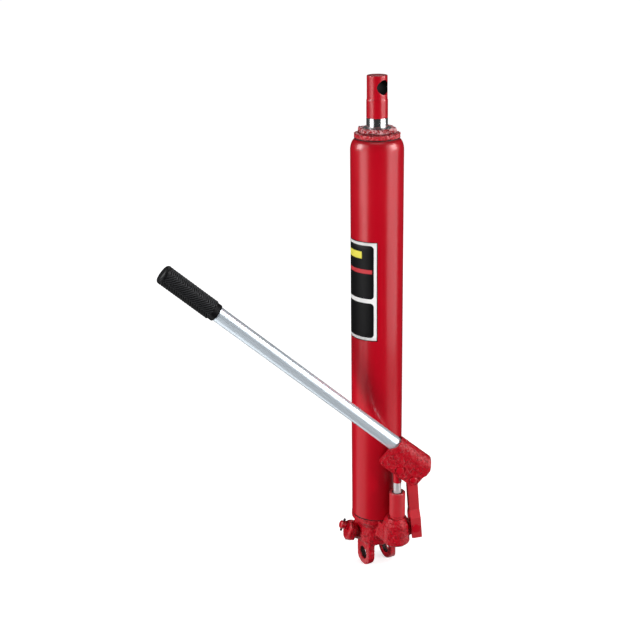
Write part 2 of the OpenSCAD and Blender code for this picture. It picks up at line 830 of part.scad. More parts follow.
module foot_pin() {
    face = foot_out + side_gap;
    color(RED) in_lever() translate([0, foot_y, foot_z])
        headed_pin(link_pin_d, foot_pin_head_d, face, -face - pin_tail);
}

module foot_pin_clip() {
    color(STEEL) in_lever() translate([0, foot_y, foot_z]) clip(link_pin_d, foot_out + side_gap);
}

// Handle

module handle_tube() {
    color(ZINC) in_socket() translate([0, tube_tip_y, socket_lift]) rotate([-90, 0, 0])
        ring(handle_d, handle_d - 2 * handle_wall, tube_end_y - tube_tip_y);
}

module handle_grip() {
    r = grip_d / 2;
    c = cuff_d / 2;
    round_r = grip_round;
    color(DARK) in_socket() translate([0, -handle_reach, socket_lift]) rotate([-90, 0, 0]) difference() {
        rotate_extrude() polygon(concat(
            [[0, 0]],
            [for (i = [0:grip_steps]) let (a = 90 * (1 - i / grip_steps))
                [r - round_r + round_r * cos(a), round_r - round_r * sin(a)]],
            [[r, grip_len - cuff_len - (r - c)], [c, grip_len - cuff_len], [c, grip_len - facet],
                [c - facet, grip_len], [0, grip_len]]));
        translate([0, 0, tube_wall_end]) cylinder(d = handle_d + 2 * fit, h = grip_len);
    }
}

// Release valve

module gland_nut() {
    color(RED) in_valve() difference() {
        cylinder(d = gland_nut_d, h = gland_nut_h, $fn = 6);
        translate([0, 0, -cut]) cylinder(d = spindle_d + 2 * run, h = gland_nut_h + 2 * cut);
    }
}

module spindle_seal() {
    color(DARK) in_valve() translate([0, 0, -spindle_seal_h])
        ring(valve_bore_d - 2 * fit, spindle_d + 2 * run, spindle_seal_h);
}

module valve_spindle() {
    z = spindle_neck;
    r = spindle_head_d / 2;
    pin_at = z + spindle_head_h / 2;
    color(RED) in_valve() difference() {
        union() {
            translate([0, 0, -spindle_in]) cylinder(d = spindle_d, h = spindle_in + z + cut);
            translate([0, 0, z]) turned(spindle_head_d, spindle_head_h, 2 * facet);
        }
        translate([0, 0, pin_at]) x_bar(cross_pin_d + 2 * fit, -2 * r, 2 * r);
    }
}

module cross_pin() {
    pin_at = spindle_neck + spindle_head_h / 2;
    color(DARK) in_valve() translate([0, 0, pin_at]) x_bar(cross_pin_d, -cross_pin_len / 2, cross_pin_len / 2);
}

module valve_ball() {
    color(STEEL) in_valve() translate([0, 0, -spindle_in - ball_d / 2 - ball_gap]) sphere(d = ball_d);
}

// Check valves, each from its mouth at z = 0

module check_ball() {
    color(STEEL) translate([0, 0, check_h - ball_under]) sphere(d = ball_d);
}

module check_spring() {
    z = plug_h;
    color(STEEL) translate([0, 0, z]) ring(spring_d, spring_bore, check_h - ball_under - ball_over - z);
}

module check_plug() {
    color(STEEL) difference() {
        cylinder(d = plug_d, h = plug_h);
        translate([0, 0, -cut]) cylinder(d = key_d, h = key_h + cut, $fn = 6);
    }
}

module at_suction() {
    translate([suction_x, 0, boss_z]) children();
}

module at_delivery() {
    translate([pump_offset, 0, boss_z]) children();
}

module at_relief() {
    in_relief() mirror([0, 0, 1]) children();
}

base_casting();
tank_seal();
reservoir_tube();
cylinder_washer();
pressure_cylinder();
head_nut();
top_seal();
rod_seal();
wiper();
ram();
ram_eye();
piston();
cup_seal();
backup_ring();
lock_nut();
stop_collar();
pump_washer();
pump_barrel();
plunger_seal();
plunger_rod();
plunger_head();
handle_socket();
plunger_pin();
plunger_pin_clip();
link_pin();
link_pin_clip();
foot_pin();
foot_pin_clip();
near_link();
far_link();
link_spacer();
handle_tube();
handle_grip();
gland_nut();
spindle_seal();
valve_spindle();
cross_pin();
valve_ball();
at_suction() check_ball();  // suction_ball
at_suction() check_spring();  // suction_spring
at_suction() check_plug();  // suction_plug
at_delivery() check_ball();  // delivery_ball
at_delivery() check_spring();  // delivery_spring
at_delivery() check_plug();  // delivery_plug
at_relief() check_ball();  // relief_ball
at_relief() check_spring();  // relief_spring
at_relief() check_plug();  // relief_screw
filler_plug();
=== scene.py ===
"""Long ram hydraulic jack: the looks of its pieces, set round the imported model."""

import json
import math

import bmesh
import bpy
import numpy as np
from mathutils import Matrix, Vector


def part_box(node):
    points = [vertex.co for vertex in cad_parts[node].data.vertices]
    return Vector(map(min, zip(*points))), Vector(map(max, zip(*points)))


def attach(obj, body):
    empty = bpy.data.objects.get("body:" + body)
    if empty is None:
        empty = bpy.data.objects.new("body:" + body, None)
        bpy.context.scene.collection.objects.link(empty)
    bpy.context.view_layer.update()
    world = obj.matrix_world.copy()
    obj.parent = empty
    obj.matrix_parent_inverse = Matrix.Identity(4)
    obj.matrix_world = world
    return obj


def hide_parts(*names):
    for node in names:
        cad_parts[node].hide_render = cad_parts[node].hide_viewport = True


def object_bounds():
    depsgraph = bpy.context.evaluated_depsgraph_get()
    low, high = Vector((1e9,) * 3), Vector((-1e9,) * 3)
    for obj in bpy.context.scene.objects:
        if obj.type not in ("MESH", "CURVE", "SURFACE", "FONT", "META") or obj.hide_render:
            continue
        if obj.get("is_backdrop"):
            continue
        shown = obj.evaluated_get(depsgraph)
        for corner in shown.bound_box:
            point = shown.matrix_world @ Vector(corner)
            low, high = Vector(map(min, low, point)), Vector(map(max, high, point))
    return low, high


bl_info = {
    "name": "Long Ram Jack",
    "version": (1, 0, 0),
    "blender": (4, 5, 0),
    "location": "3D View > Sidebar > Jack",
    "description": "Paint, plating, grip and label of a long ram hydraulic jack",
    "category": "Object",
}

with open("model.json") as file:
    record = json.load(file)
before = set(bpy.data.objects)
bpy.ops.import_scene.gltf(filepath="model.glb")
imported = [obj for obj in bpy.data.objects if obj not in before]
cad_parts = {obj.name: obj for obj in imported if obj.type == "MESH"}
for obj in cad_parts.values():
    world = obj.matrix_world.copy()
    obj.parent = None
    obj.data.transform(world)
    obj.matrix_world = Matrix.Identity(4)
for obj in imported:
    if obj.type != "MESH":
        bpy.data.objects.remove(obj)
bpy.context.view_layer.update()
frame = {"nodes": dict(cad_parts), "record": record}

MM = 0.001
TAU = 2 * math.pi
QUARTER_TURN = math.pi / 2
CORNER_LOW = 0
CORNER_HIGH = 1

# Distances under which the points of a new mesh, and of a copy of a node, are merged
MERGE_NEW = 0.001 * MM
MERGE_COPY = 0.005 * MM

# Sockets of a Mix node that carry its factor and its two colours, and the colour that it gives
MIX_FACTOR = 0
MIX_LOW = 6
MIX_HIGH = 7
MIX_RESULT = 2

# Attribute of the grip that is 1 along its paler ridges, more on the upper side: partly dust,
# partly a painted sheen for the light that falls on them
RIDGE_DUST_AND_SHEEN = "ridge"

# Nodes by finish. Pieces that stand for a node have the same finish, apart from the head nut's
NODES_BY_FINISH = {
    "gloss": (
        "ram_eye", "plunger_head", "plunger_pin", "link_pin", "foot_pin", "gland_nut",
        "valve_spindle", "reservoir_tube",
    ),
    "chrome": ("ram",),
    "zinc": ("handle_tube", "plunger_pin_clip", "link_pin_clip", "foot_pin_clip"),
    "ground": ("plunger_rod",),
    "steel": (
        "pressure_cylinder", "piston", "lock_nut", "stop_collar", "link_spacer", "valve_ball",
        "suction_ball", "suction_spring", "suction_plug", "delivery_ball", "delivery_spring",
        "delivery_plug", "relief_ball", "relief_spring", "relief_screw",
    ),
    "copper": ("cylinder_washer", "pump_washer"),
    "rubber": (
        "tank_seal", "top_seal", "rod_seal", "wiper", "cup_seal", "plunger_seal",
        "spindle_seal", "filler_plug",
    ),
    "oxide": ("cross_pin",),
    "plastic": ("backup_ring",),
    "cast": ("base_casting", "head_nut", "handle_socket"),
    "grip": ("handle_grip",),
    "satin": ("pump_barrel", "near_link", "far_link"),
}


class Wire:
    """A socket of a shader. Sums on it add Math nodes, and any other node comes from add()."""

    def __init__(self, tree, socket=None):
        self.tree = tree
        self.socket = socket

    def add(self, kind, settings=None, inputs=None, out=0):
        """A new node of that kind, its settings set before its inputs, as a Wire on one output."""
        node = self.tree.nodes.new(kind)
        for name, value in (settings or {}).items():
            setattr(node, name, value)
        for name, value in (inputs or {}).items():
            if isinstance(value, Wire):
                self.tree.links.new(value.socket, node.inputs[name])
            else:
                node.inputs[name].default_value = value
        return Wire(self.tree, node.outputs[out] if node.outputs else None)

    def math(self, operation, *values):
        """Math node on this value and the ones given."""
        inputs = dict(enumerate((self,) + values))
        return self.add("ShaderNodeMath", {"operation": operation}, inputs)

    def __add__(self, other):
        return self.math("ADD", other)

    __radd__ = __add__

    def __mul__(self, other):
        return self.math("MULTIPLY", other)

    __rmul__ = __mul__

    def __sub__(self, other):
        return self.math("SUBTRACT", other)

    def __rsub__(self, other):
        return self.add("ShaderNodeMath", {"operation": "SUBTRACT"}, {0: other, 1: self})

    def vector(self, operation, *values, out=0):
        """Vector Math node on this vector and the ones given."""
        inputs = dict(enumerate((self,) + values))
        return self.add("ShaderNodeVectorMath", {"operation": operation}, inputs, out)

    def step(self, edge, width):
        """0 below edge and 1 above it, smooth over width."""
        settings = {"interpolation_type": "SMOOTHSTEP"}
        limits = {"Value": self, "From Min": edge - width / 2, "From Max": edge + width / 2}
        return self.add("ShaderNodeMapRange", settings, limits)

    def mix(self, low, high):
        """Colour low where this is 0, high where it is 1."""
        inputs = {MIX_FACTOR: self, MIX_LOW: low, MIX_HIGH: high}
        return self.add("ShaderNodeMix", {"data_type": "RGBA"}, inputs, out=MIX_RESULT)

    def noise(self, scale, detail=2.0, rough=0.5):
        """Cloudy pattern about this vector, scale in features per metre."""
        inputs = {"Vector": self, "Scale": scale, "Detail": detail, "Roughness": rough}
        return self.add("ShaderNodeTexNoise", None, inputs)

    def bump(self, distance):
        """Normal bent by this height, distance in metres for a height of 1."""
        return self.add("ShaderNodeBump", None, {"Distance": distance, "Height": self})


def finish(name):
    """A new material with a cleared tree: the material, a Wire on its tree, object coordinates."""
    material = bpy.data.materials.new(name)
    material.use_nodes = True
    material.node_tree.nodes.clear()
    wire = Wire(material.node_tree)
    coords = wire.add("ShaderNodeTexCoord", out="Object")
    return material, wire, coords


def close_finish(wire, inputs):
    """Feeds a Principled shader and the output."""
    shader = wire.add("ShaderNodeBsdfPrincipled", None, inputs)
    wire.add("ShaderNodeOutputMaterial", None, {"Surface": shader})


def rgba(colour, share=1.0):
    """A colour with its opacity, made darker or paler by a share."""
    return (colour[0] * share, colour[1] * share, colour[2] * share, 1.0)


def grey(level):
    """Grey of that level."""
    return rgba((level, level, level))


def palette():
    """The colours that a user may change."""
    return bpy.context.scene.jack_colours


# Bores of the mounts: how soft the edge of their painted shade is in their wall, painted length
# at their ends, and the near-black painted shade that stands for the shade inside them
BORE_LIP = 0.25 * MM
BORE_PAINTED = 2.0 * MM
BORE_SHADE_COLOUR = (0.01, 0.003, 0.003)


def bore_shade_mask(at):
    """Painted shade: 1 in the bores of the mounts, where |(p - centre) x axis| is under the radius
    and a lip.

    It fades to 0 where |(p - centre) . axis| comes within BORE_PAINTED of half the length of
    the bore, so that the ends keep their paint."""
    total = 0.0
    for mount in frame["record"]["mounts"]:
        centre, axis = tuple(mount["pos_m"]), tuple(mount["axis"])
        radius = mount["dims"]["r_mm"] * MM
        half = mount["dims"]["length_mm"] * MM / 2
        off = at.vector("SUBTRACT", centre)
        along = off.vector("DOT_PRODUCT", axis, out="Value").math("ABSOLUTE")
        away = off.vector("CROSS_PRODUCT", axis).vector("LENGTH", out="Value")
        inside = 1 - along.step(half - BORE_PAINTED, BORE_PAINTED)
        total = total + inside * (1 - away.step(radius + 2 * BORE_LIP, BORE_LIP))
    return total.math("MINIMUM", 1.0)


# Sprayed paint: features per metre of its shade, its peel and its nibs, shares of the colour in
# its dark and pale parts, clear coat
SHADE_SCALE = 18
PEEL_SCALE = 900
NIB_SCALE = 2600
SHADE_DARK = 0.93
SHADE_PALE = 1.06
SPRAY_COAT = 0.2


def smooth_finish(name, roughness, specular):
    """Smooth sprayed paint: faint orange peel, slow change of shade, a few dust nibs."""
    material, wire, at = finish(name)
    paint = palette().paint
    shade = at.noise(SHADE_SCALE, detail=3.0).step(edge=0.5, width=0.9)
    peel = at.noise(PEEL_SCALE)
    nibs = at.noise(NIB_SCALE, detail=1.0).step(edge=0.78, width=0.06)
    # Near-black painted shade inside the bores, with less coat and more roughness
    bore_shade = bore_shade_mask(at)
    base = shade.mix(rgba(paint, SHADE_DARK), rgba(paint, SHADE_PALE))
    close_finish(wire, {
        "Base Color": bore_shade.mix(base, rgba(BORE_SHADE_COLOUR)),
        "Roughness": shade * 0.05 + bore_shade * 0.6 + roughness,
        "Specular IOR Level": specular,
        "Coat Weight": SPRAY_COAT - bore_shade * SPRAY_COAT,
        "Coat Roughness": 0.12,
        "Normal": (peel * 0.5 + nibs * 0.7).bump(0.04 * MM),
    })
    return material


def gloss_paint():
    """Tank, ram eye, pins, plunger's head, and release valve with its gland nut."""
    return smooth_finish("jack_gloss_paint", roughness=0.28, specular=0.42)


def satin_paint():
    """Links and pump barrel, duller than the tank."""
    return smooth_finish("jack_satin_paint", roughness=0.62, specular=1.0)


# Cast skins: scales of lumps and pits as shares of the grain's, shares of the colour outside and
# in the pits, whose darker colour is painted shade in the dents, and clear coat. CRUST_LEAST of
# the grain is left where a casting is smooth, and the rest comes in over CRUST_FADE of height
LUMP_SCALE = 0.45
PIT_SCALE = 0.8
CAST_SHADE = 0.96
PIT_PAINTED_SHADE = 0.5
CAST_COAT = 0.15
CRUST_LEAST = 0.08
CRUST_FADE = 1.5 * MM


def cast_finish(name, grain_scale, wear_and_glint_from, wear_and_glint_share, height, crust_low):
    """Paint over sand-cast iron: grains of the mould, pits darkened with painted shade, paler high
    grains.

    Grains higher than the given height, on the lumps, are mixed with the paler colour by the given
    share: partly wear, partly painted glints. Below crust_low the grain is low and the paler
    grains are few."""
    material, wire, at = finish(name)
    paint = palette().paint
    up = wire.add("ShaderNodeSeparateXYZ", None, {"Vector": at}, out="Z")
    crust = up.step(crust_low, CRUST_FADE) * (1 - CRUST_LEAST) + CRUST_LEAST
    grain = at.noise(grain_scale, detail=4.0, rough=0.7)
    lumps = at.noise(grain_scale * LUMP_SCALE)
    # Pits are dents in the bump, and their darker colour is painted shade
    pits = 1 - at.noise(grain_scale * PIT_SCALE).step(edge=0.38, width=0.24)
    # High grains on the lumps made paler: partly wear, partly painted glints
    pale = grain.step(wear_and_glint_from, width=0.08) * lumps.step(edge=0.42, width=0.16) * crust
    base = pits.mix(rgba(paint, CAST_SHADE), rgba(paint, PIT_PAINTED_SHADE))
    base = (pale * wear_and_glint_share).mix(base, rgba(palette().glint_and_wear))
    # Near-black painted shade inside the bores, with less coat and more roughness
    bore_shade = bore_shade_mask(at)
    close_finish(wire, {
        "Base Color": bore_shade.mix(base, rgba(BORE_SHADE_COLOUR)),
        "Roughness": pits * 0.25 + bore_shade * 0.3 + 0.32,
        "Specular IOR Level": 0.36,
        "Coat Weight": CAST_COAT - bore_shade * CAST_COAT,
        "Coat Roughness": 0.15,
        "Normal": ((grain * 0.5 + lumps * 2.0 - pits * 0.4) * crust).bump(height),
    })
    return material


# A height under the whole jack, and how far the nut's flange rises over the tank's rim
UNDER_ALL = -1.0
FLANGE_HIGH = 7 * MM


def cast_paint():
    """Base and socket, with their grain all over."""
    return cast_finish("jack_cast_paint", grain_scale=400, wear_and_glint_from=0.6, wear_and_glint_share=0.1,
                       height=1.2 * MM, crust_low=UNDER_ALL)


def crust_paint():
    """Head nut, its hexagon above the smoother flange with the roughest skin of the castings."""
    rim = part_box("reservoir_tube")[CORNER_HIGH][2]
    # The nut's crust takes the paler grains at full share: partly wear, partly painted glints
    return cast_finish("jack_crust_paint", grain_scale=280, wear_and_glint_from=0.47, wear_and_glint_share=1.0,
                       height=4.5 * MM, crust_low=rim + FLANGE_HIGH)


def ringed_finish(name, dark, pale, metallic, least, spread, height, scale=260, squeeze=14.0):
    """Metal turned or ground about the upright axis: noise squeezed along it makes rings.

    They change its shade from dark to pale, its roughness by spread above the least, and its
    surface by the height."""
    material, wire, at = finish(name)
    flat = wire.add("ShaderNodeMapping", None, {"Vector": at, "Scale": (1.0, 1.0, squeeze)})
    rings = flat.noise(scale, detail=3.0)
    close_finish(wire, {
        "Base Color": rings.mix(rgba(dark), rgba(pale)),
        "Metallic": metallic,
        "Roughness": rings * spread + least,
        "Normal": rings.bump(height),
    })
    return material


def chrome_plate():
    """Ground and plated rod: fine rings of the grinding, almost a mirror."""
    return ringed_finish("jack_chrome", (0.82, 0.82, 0.84), (0.92, 0.92, 0.93), metallic=1.0,
                         least=0.15, spread=0.08, height=0.002 * MM)


def ground_plate():
    """Plunger: plated and ground, duller than the ram."""
    return ringed_finish("jack_ground_plate", (0.72, 0.70, 0.72), (0.86, 0.84, 0.86),
                         metallic=0.55, least=0.33, spread=0.08, height=0.006 * MM)


def turned_steel():
    """Fine turned steel inside the jack."""
    return ringed_finish("jack_turned_steel", (0.42, 0.42, 0.44), (0.6, 0.6, 0.62),
                         metallic=1.0, least=0.22, spread=0.15, height=0.02 * MM, scale=300,
                         squeeze=20.0)


# Zinc: features per metre of its cloud, grain and specks, shares of the colour in the paler
# cloud and in the specks, and how strong these are
ZINC_CLOUD_SCALE = 30
ZINC_GRAIN_SCALE = 1500
SPECK_SCALE = 420
ZINC_PALE = 1.06
SPECK_SHADE = 0.6
SPECK_SHARE = 0.2


def zinc_plate():
    """Bright zinc on drawn tube: slow bluish cloud, fine grain, small darker specks."""
    material, wire, at = finish("jack_zinc")
    zinc = palette().zinc
    cloud = at.noise(ZINC_CLOUD_SCALE, detail=4.0)
    fine = at.noise(ZINC_GRAIN_SCALE)
    speck = at.noise(SPECK_SCALE).step(edge=0.72, width=0.06)
    base = cloud.mix(rgba(zinc), rgba(zinc, ZINC_PALE))
    close_finish(wire, {
        "Base Color": (speck * SPECK_SHARE).mix(base, rgba(zinc, SPECK_SHADE)),
        "Metallic": 0.5,
        "Roughness": fine * 0.08 + cloud * 0.06 + 0.18,
        "Normal": fine.bump(0.01 * MM),
    })
    return material


def cloudy_finish(name, scale, dark, pale, least, spread, metallic=0.0, height=0.0):
    """One cloudy pattern changes the shade from dark to pale, and the roughness by spread.

    Where it has a height, it bends the surface too."""
    material, wire, at = finish(name)
    cloud = at.noise(scale, detail=3.0)
    inputs = {
        "Base Color": cloud.mix(rgba(dark), rgba(pale)),
        "Metallic": metallic,
        "Roughness": cloud * spread + least,
    }
    if height:
        inputs["Normal"] = cloud.bump(height)
    close_finish(wire, inputs)
    return material


def soft_copper():
    """Annealed copper washer, slightly stained."""
    return cloudy_finish("jack_copper", 220, (0.45, 0.2, 0.1), (0.72, 0.38, 0.24),
                         least=0.25, spread=0.2, metallic=1.0)


def black_oxide():
    """Dark oxide on the cross pin of the release valve."""
    return cloudy_finish("jack_black_oxide", 500, (0.02, 0.015, 0.017), (0.07, 0.05, 0.055),
                         least=0.3, spread=0.2, metallic=0.6, height=0.03 * MM)


def seal_rubber():
    """Moulded black rubber."""
    return cloudy_finish("jack_seal_rubber", 600, (0.012, 0.012, 0.013), (0.03, 0.03, 0.03),
                         least=0.5, spread=0.2, height=0.04 * MM)


def seal_plastic():
    """Pale back-up ring of hard plastic."""
    return cloudy_finish("jack_seal_plastic", 300, (0.6, 0.57, 0.48), (0.72, 0.7, 0.62),
                         least=0.4, spread=0.1)


# Grip: features per metre of its cloud and grain, share of the colour in the paler cloud, and
# the shade and strength of the dust on its highest grains
GRIP_CLOUD_SCALE = 60
GRIP_GRAIN_SCALE = 1800
GRIP_PALE = 1.6
DUST_SHADE = 0.1
DUST_SHARE = 0.2


def grip_rubber():
    """Satin rubber sleeve, paler along its ridges and more so on top, partly dust and partly
    painted sheen, and with a little dust in its grain.
    """
    material, wire, at = finish("jack_grip_rubber")
    rubber = palette().grip
    cloud = at.noise(GRIP_CLOUD_SCALE, detail=4.0)
    fine = at.noise(GRIP_GRAIN_SCALE)
    ridge = wire.add("ShaderNodeAttribute", {"attribute_name": RIDGE_DUST_AND_SHEEN}, out="Fac")
    base = cloud.mix(rgba(rubber), rgba(rubber, GRIP_PALE))
    # Ridges paler, more on top: partly dust, partly painted sheen
    base = ridge.mix(base, rgba(palette().ridge_dust_and_sheen))
    dust = fine.step(edge=0.68, width=0.1) * DUST_SHARE
    close_finish(wire, {
        "Base Color": dust.mix(base, grey(DUST_SHADE)),
        "Roughness": fine * 0.15 - ridge * 0.12 + 0.36,
        "Specular IOR Level": 0.16,
        "Normal": fine.bump(0.05 * MM),
    })
    return material


# Print of the label: margin, half the gap between its panels, their corners, its dark rim with
# that rim's corners, and how soft the edges are. The middle of the gap is LABEL_SPLIT of the way
# up. The paper has two shades
LABEL_EDGE = 4.5 * MM
LABEL_GAP = 2.6 * MM
LABEL_CORNER = 4.5 * MM
LABEL_RIM = 1.0 * MM
RIM_CORNER = 0.5 * MM
PANEL_SOFT = 0.4 * MM
BAR_SOFT = 1.0 * MM
LABEL_SPLIT = 0.41
LABEL_BLACK = (0.004, 0.004, 0.0045)
PAPER_DARK = (0.86, 0.85, 0.84)
PAPER_PALE = (0.93, 0.92, 0.91)
SCUFF_SCALE = 900
# Bars: left, right, low and high edge as shares of the label's width and height, and colour
LABEL_BARS = (
    (0.12, 0.82, 0.83, 0.9, (0.86, 0.78, 0.1)),
    (0.06, 0.94, 0.685, 0.725, (0.6, 0.05, 0.06)),
)


def band(u, low, high):
    """1 between low and high, 0 outside, with soft edges."""
    return u.step(low, BAR_SOFT) * (1 - u.step(high, BAR_SOFT))


def panel(across, up, left, right, low, high, corner):
    """1 inside a panel with round corners, in metres across and up the sheet.

    Distance from the panel shrunk by its corner radius, against that radius."""
    half_width, half_height = (right - left) / 2 - corner, (high - low) / 2 - corner
    aside = (across - (left + right) / 2).math("ABSOLUTE")
    above = (up - (low + high) / 2).math("ABSOLUTE")
    aside = (aside - half_width).math("MAXIMUM", 0.0)
    above = (above - half_height).math("MAXIMUM", 0.0)
    off = (aside * aside + above * above).math("SQRT")
    return 1 - off.step(corner, PANEL_SOFT)


def label_print():
    """Plain printed label: white border, two dark panels with round corners, two blank bars."""
    material, wire, at = finish("jack_label")
    sizes = bpy.context.scene.jack_sizes
    wide, tall = sizes.label_arc, sizes.label_high - sizes.label_low
    left, right, low, high = LABEL_EDGE, wide - LABEL_EDGE, LABEL_EDGE, tall - LABEL_EDGE
    split = LABEL_SPLIT * tall
    uv = wire.add("ShaderNodeTexCoord", out="UV")
    across = wire.add("ShaderNodeSeparateXYZ", None, {"Vector": uv}, out="X") * wide
    up = wire.add("ShaderNodeSeparateXYZ", None, {"Vector": uv}, out="Y") * tall
    upper = panel(across, up, left, right, split + LABEL_GAP, high, LABEL_CORNER)
    lower = panel(across, up, left, right, low, split - LABEL_GAP, LABEL_CORNER)
    inner = panel(across, up, LABEL_RIM, wide - LABEL_RIM, LABEL_RIM, tall - LABEL_RIM, RIM_CORNER)
    dark = (upper + lower + (1 - inner)).math("MINIMUM", 1.0)
    scuff = at.noise(SCUFF_SCALE, detail=3.0)
    paper = scuff.mix(rgba(PAPER_DARK), rgba(PAPER_PALE))
    ink = dark.mix(paper, rgba(LABEL_BLACK))
    for bar_left, bar_right, bar_low, bar_high, colour in LABEL_BARS:
        bar = band(across, bar_left * wide, bar_right * wide)
        bar = bar * band(up, bar_low * tall, bar_high * tall)
        ink = bar.mix(ink, rgba(colour))
    close_finish(wire, {
        "Base Color": ink,
        "Roughness": scuff * 0.1 + 0.4,
        "Specular IOR Level": 0.18,
        "Normal": scuff.bump(0.01 * MM),
    })
    return material


# Light from all round: plain grey, and the dark room that gloss shows
SKY = 0.04
ROOM = 0.03
# Floor: its two shades and their scale, its shade in bounced light, and the glow that it has at
# the object and that comes up to white over LIT_SOFT about the radius LIT_EDGE
FLOOR_DARK = 0.78
FLOOR_PALE = 0.82
FLOOR_SCALE = 3
FLOOR_BOUNCE = 0.18
FLOOR_LIFT = 0.68
LIT_EDGE = 1.0
LIT_SOFT = 1.2
# Floor in gloss, a painted reflection that glows: pale out to a radius and beside the object,
# with the cosines of the angles from the viewer's side at which that begins and ends
FLOOR_GLOW_IN_GLOSS = 0.9
NEAR_EDGE = 0.65
NEAR_SOFT = 0.5
FRONT_EDGE = 0.68
BACK_EDGE = -0.2
SIDE_SOFT = 0.3


def ray_kinds(wire):
    """Two masks: rays from the camera or through glass, and rays mirrored in gloss."""
    straight = wire.add("ShaderNodeLightPath", out="Is Camera Ray")
    clear = wire.add("ShaderNodeLightPath", out="Is Transmission Ray")
    gloss = wire.add("ShaderNodeLightPath", out="Is Glossy Ray")
    return straight.math("MAXIMUM", clear), gloss


def floor_finish():
    """Plain pale floor with the object's shadow, lifted to white where the lamps leave off.

    Its bounced light is greyer than it looks. In gloss it glows, a painted reflection: pale on
    both sides of the object, and dark in front, behind and far away, as in a studio."""
    material, wire, at = finish("stage_floor")
    seen_straight, gloss = ray_kinds(wire)
    cloud = at.noise(FLOOR_SCALE).mix(grey(FLOOR_DARK), grey(FLOOR_PALE))
    level = at.vector("MULTIPLY", (1.0, 1.0, 0.0))
    away = level.vector("LENGTH", out="Value")
    lift = away.step(LIT_EDGE, LIT_SOFT).mix(grey(FLOOR_LIFT), grey(1.0))
    matt = wire.add("ShaderNodeBsdfPrincipled", None, {
        "Base Color": seen_straight.mix(grey(FLOOR_BOUNCE), cloud),
        "Roughness": 0.9,
        "Emission Color": seen_straight.mix(grey(0.0), lift),
        "Emission Strength": 1.0,
    })
    ahead = level.vector("NORMALIZE").vector("DOT_PRODUCT", tuple(seen(0, -1, 0)), out="Value")
    near = 1 - away.step(NEAR_EDGE, NEAR_SOFT)
    pale = near * (1 - ahead.step(FRONT_EDGE, SIDE_SOFT)) * ahead.step(BACK_EDGE, SIDE_SOFT)
    # Painted reflection: the floor glows for gloss rays, pale beside the object and dark elsewhere
    room = pale.mix(grey(ROOM), grey(FLOOR_GLOW_IN_GLOSS))
    mirrored = wire.add("ShaderNodeEmission", None, {"Color": room})
    choice = {0: gloss, 1: matt, 2: mirrored}
    both = wire.add("ShaderNodeMixShader", None, choice)
    wire.add("ShaderNodeOutputMaterial", None, {"Surface": both})
    return material


FINISHES = {
    "gloss": gloss_paint,
    "satin": satin_paint,
    "cast": cast_paint,
    "crust": crust_paint,
    "chrome": chrome_plate,
    "ground": ground_plate,
    "zinc": zinc_plate,
    "steel": turned_steel,
    "copper": soft_copper,
    "oxide": black_oxide,
    "rubber": seal_rubber,
    "grip": grip_rubber,
    "plastic": seal_plastic,
    "label": label_print,
    "floor": floor_finish,
}
# Materials made so far, by kind
made = {}


def material_of(kind):
    """The finished material of that kind, made once."""
    if kind not in made:
        made[kind] = FINISHES[kind]()
    return made[kind]


def dress(thing, kind):
    """Gives an object the material of that kind and no other."""
    thing.data.materials.clear()
    thing.data.materials.append(material_of(kind))


def surface(name, points, shade=None):
    """Mesh of a grid of points, rows along u and columns round v, the columns closed.

    Faces join each point with the next in its row and its column. Points that fall together,
    at poles, are merged. The shade is a value for each point, kept as the ridge attribute."""
    rows, columns = points.shape[:2]
    index = np.arange(rows * columns).reshape(rows, columns)
    after = np.roll(index, -1, axis=1)
    faces = np.stack([index[:-1], after[:-1], after[1:], index[1:]], axis=-1).reshape(-1, 4)
    return mesh_object(name, points.reshape(-1, 3), faces, shade=shade)


def mesh_object(name, vertices, faces, uv=None, shade=None):
    """Object of that mesh, with its doubles merged, its faces outwards and smooth."""
    mesh = bpy.data.meshes.new(name)
    mesh.from_pydata(vertices.tolist(), [], faces.tolist())
    if uv is not None:
        layer = mesh.uv_layers.new(name="UVMap")
        layer.data.foreach_set("uv", uv[faces.reshape(-1)].reshape(-1))
    if shade is not None:
        mesh.attributes.new(RIDGE_DUST_AND_SHEEN, "FLOAT", "POINT").data.foreach_set("value", shade.reshape(-1))
    work = bmesh.new()
    work.from_mesh(mesh)
    bmesh.ops.remove_doubles(work, verts=work.verts, dist=MERGE_NEW)
    bmesh.ops.recalc_face_normals(work, faces=work.faces)
    work.to_mesh(mesh)
    work.free()
    mesh.shade_smooth()
    thing = bpy.data.objects.new(name, mesh)
    bpy.context.scene.collection.objects.link(thing)
    return thing


def turned(radius, along, columns):
    """Grids of a profile turned full circle: its radius, place along the axis, and angle."""
    angle = np.linspace(0, TAU, columns, endpoint=False)
    s, a = np.meshgrid(along, angle, indexing="ij")
    return np.repeat(radius[:, None], columns, axis=1), s, a


# Waves of the cast skins: how many are added up, how their lengths spread about the size asked
# for, and the height at which the sum is cut off
WAVE_COUNT = 48
WAVE_SPREAD = (0.6, 1.7)
WAVE_TOP = 1.6


def waves(points, size, seed):
    """Rough height at each point: the sum of cosine waves in random directions.

    Each wave is cos(k . p + phase), with 2 pi / |k| spread about size. The sum is divided by
    the square root of their number, so that its spread is the same for any number."""
    draw = np.random.default_rng(seed)
    ways = draw.normal(size=(WAVE_COUNT, 3))
    ways /= np.linalg.norm(ways, axis=1)[:, None]
    k = ways * (TAU / (size * draw.uniform(*WAVE_SPREAD, WAVE_COUNT)))[:, None]
    phase = draw.uniform(0, TAU, WAVE_COUNT)
    return np.cos(points @ k.T + phase).sum(axis=1) / math.sqrt(WAVE_COUNT)


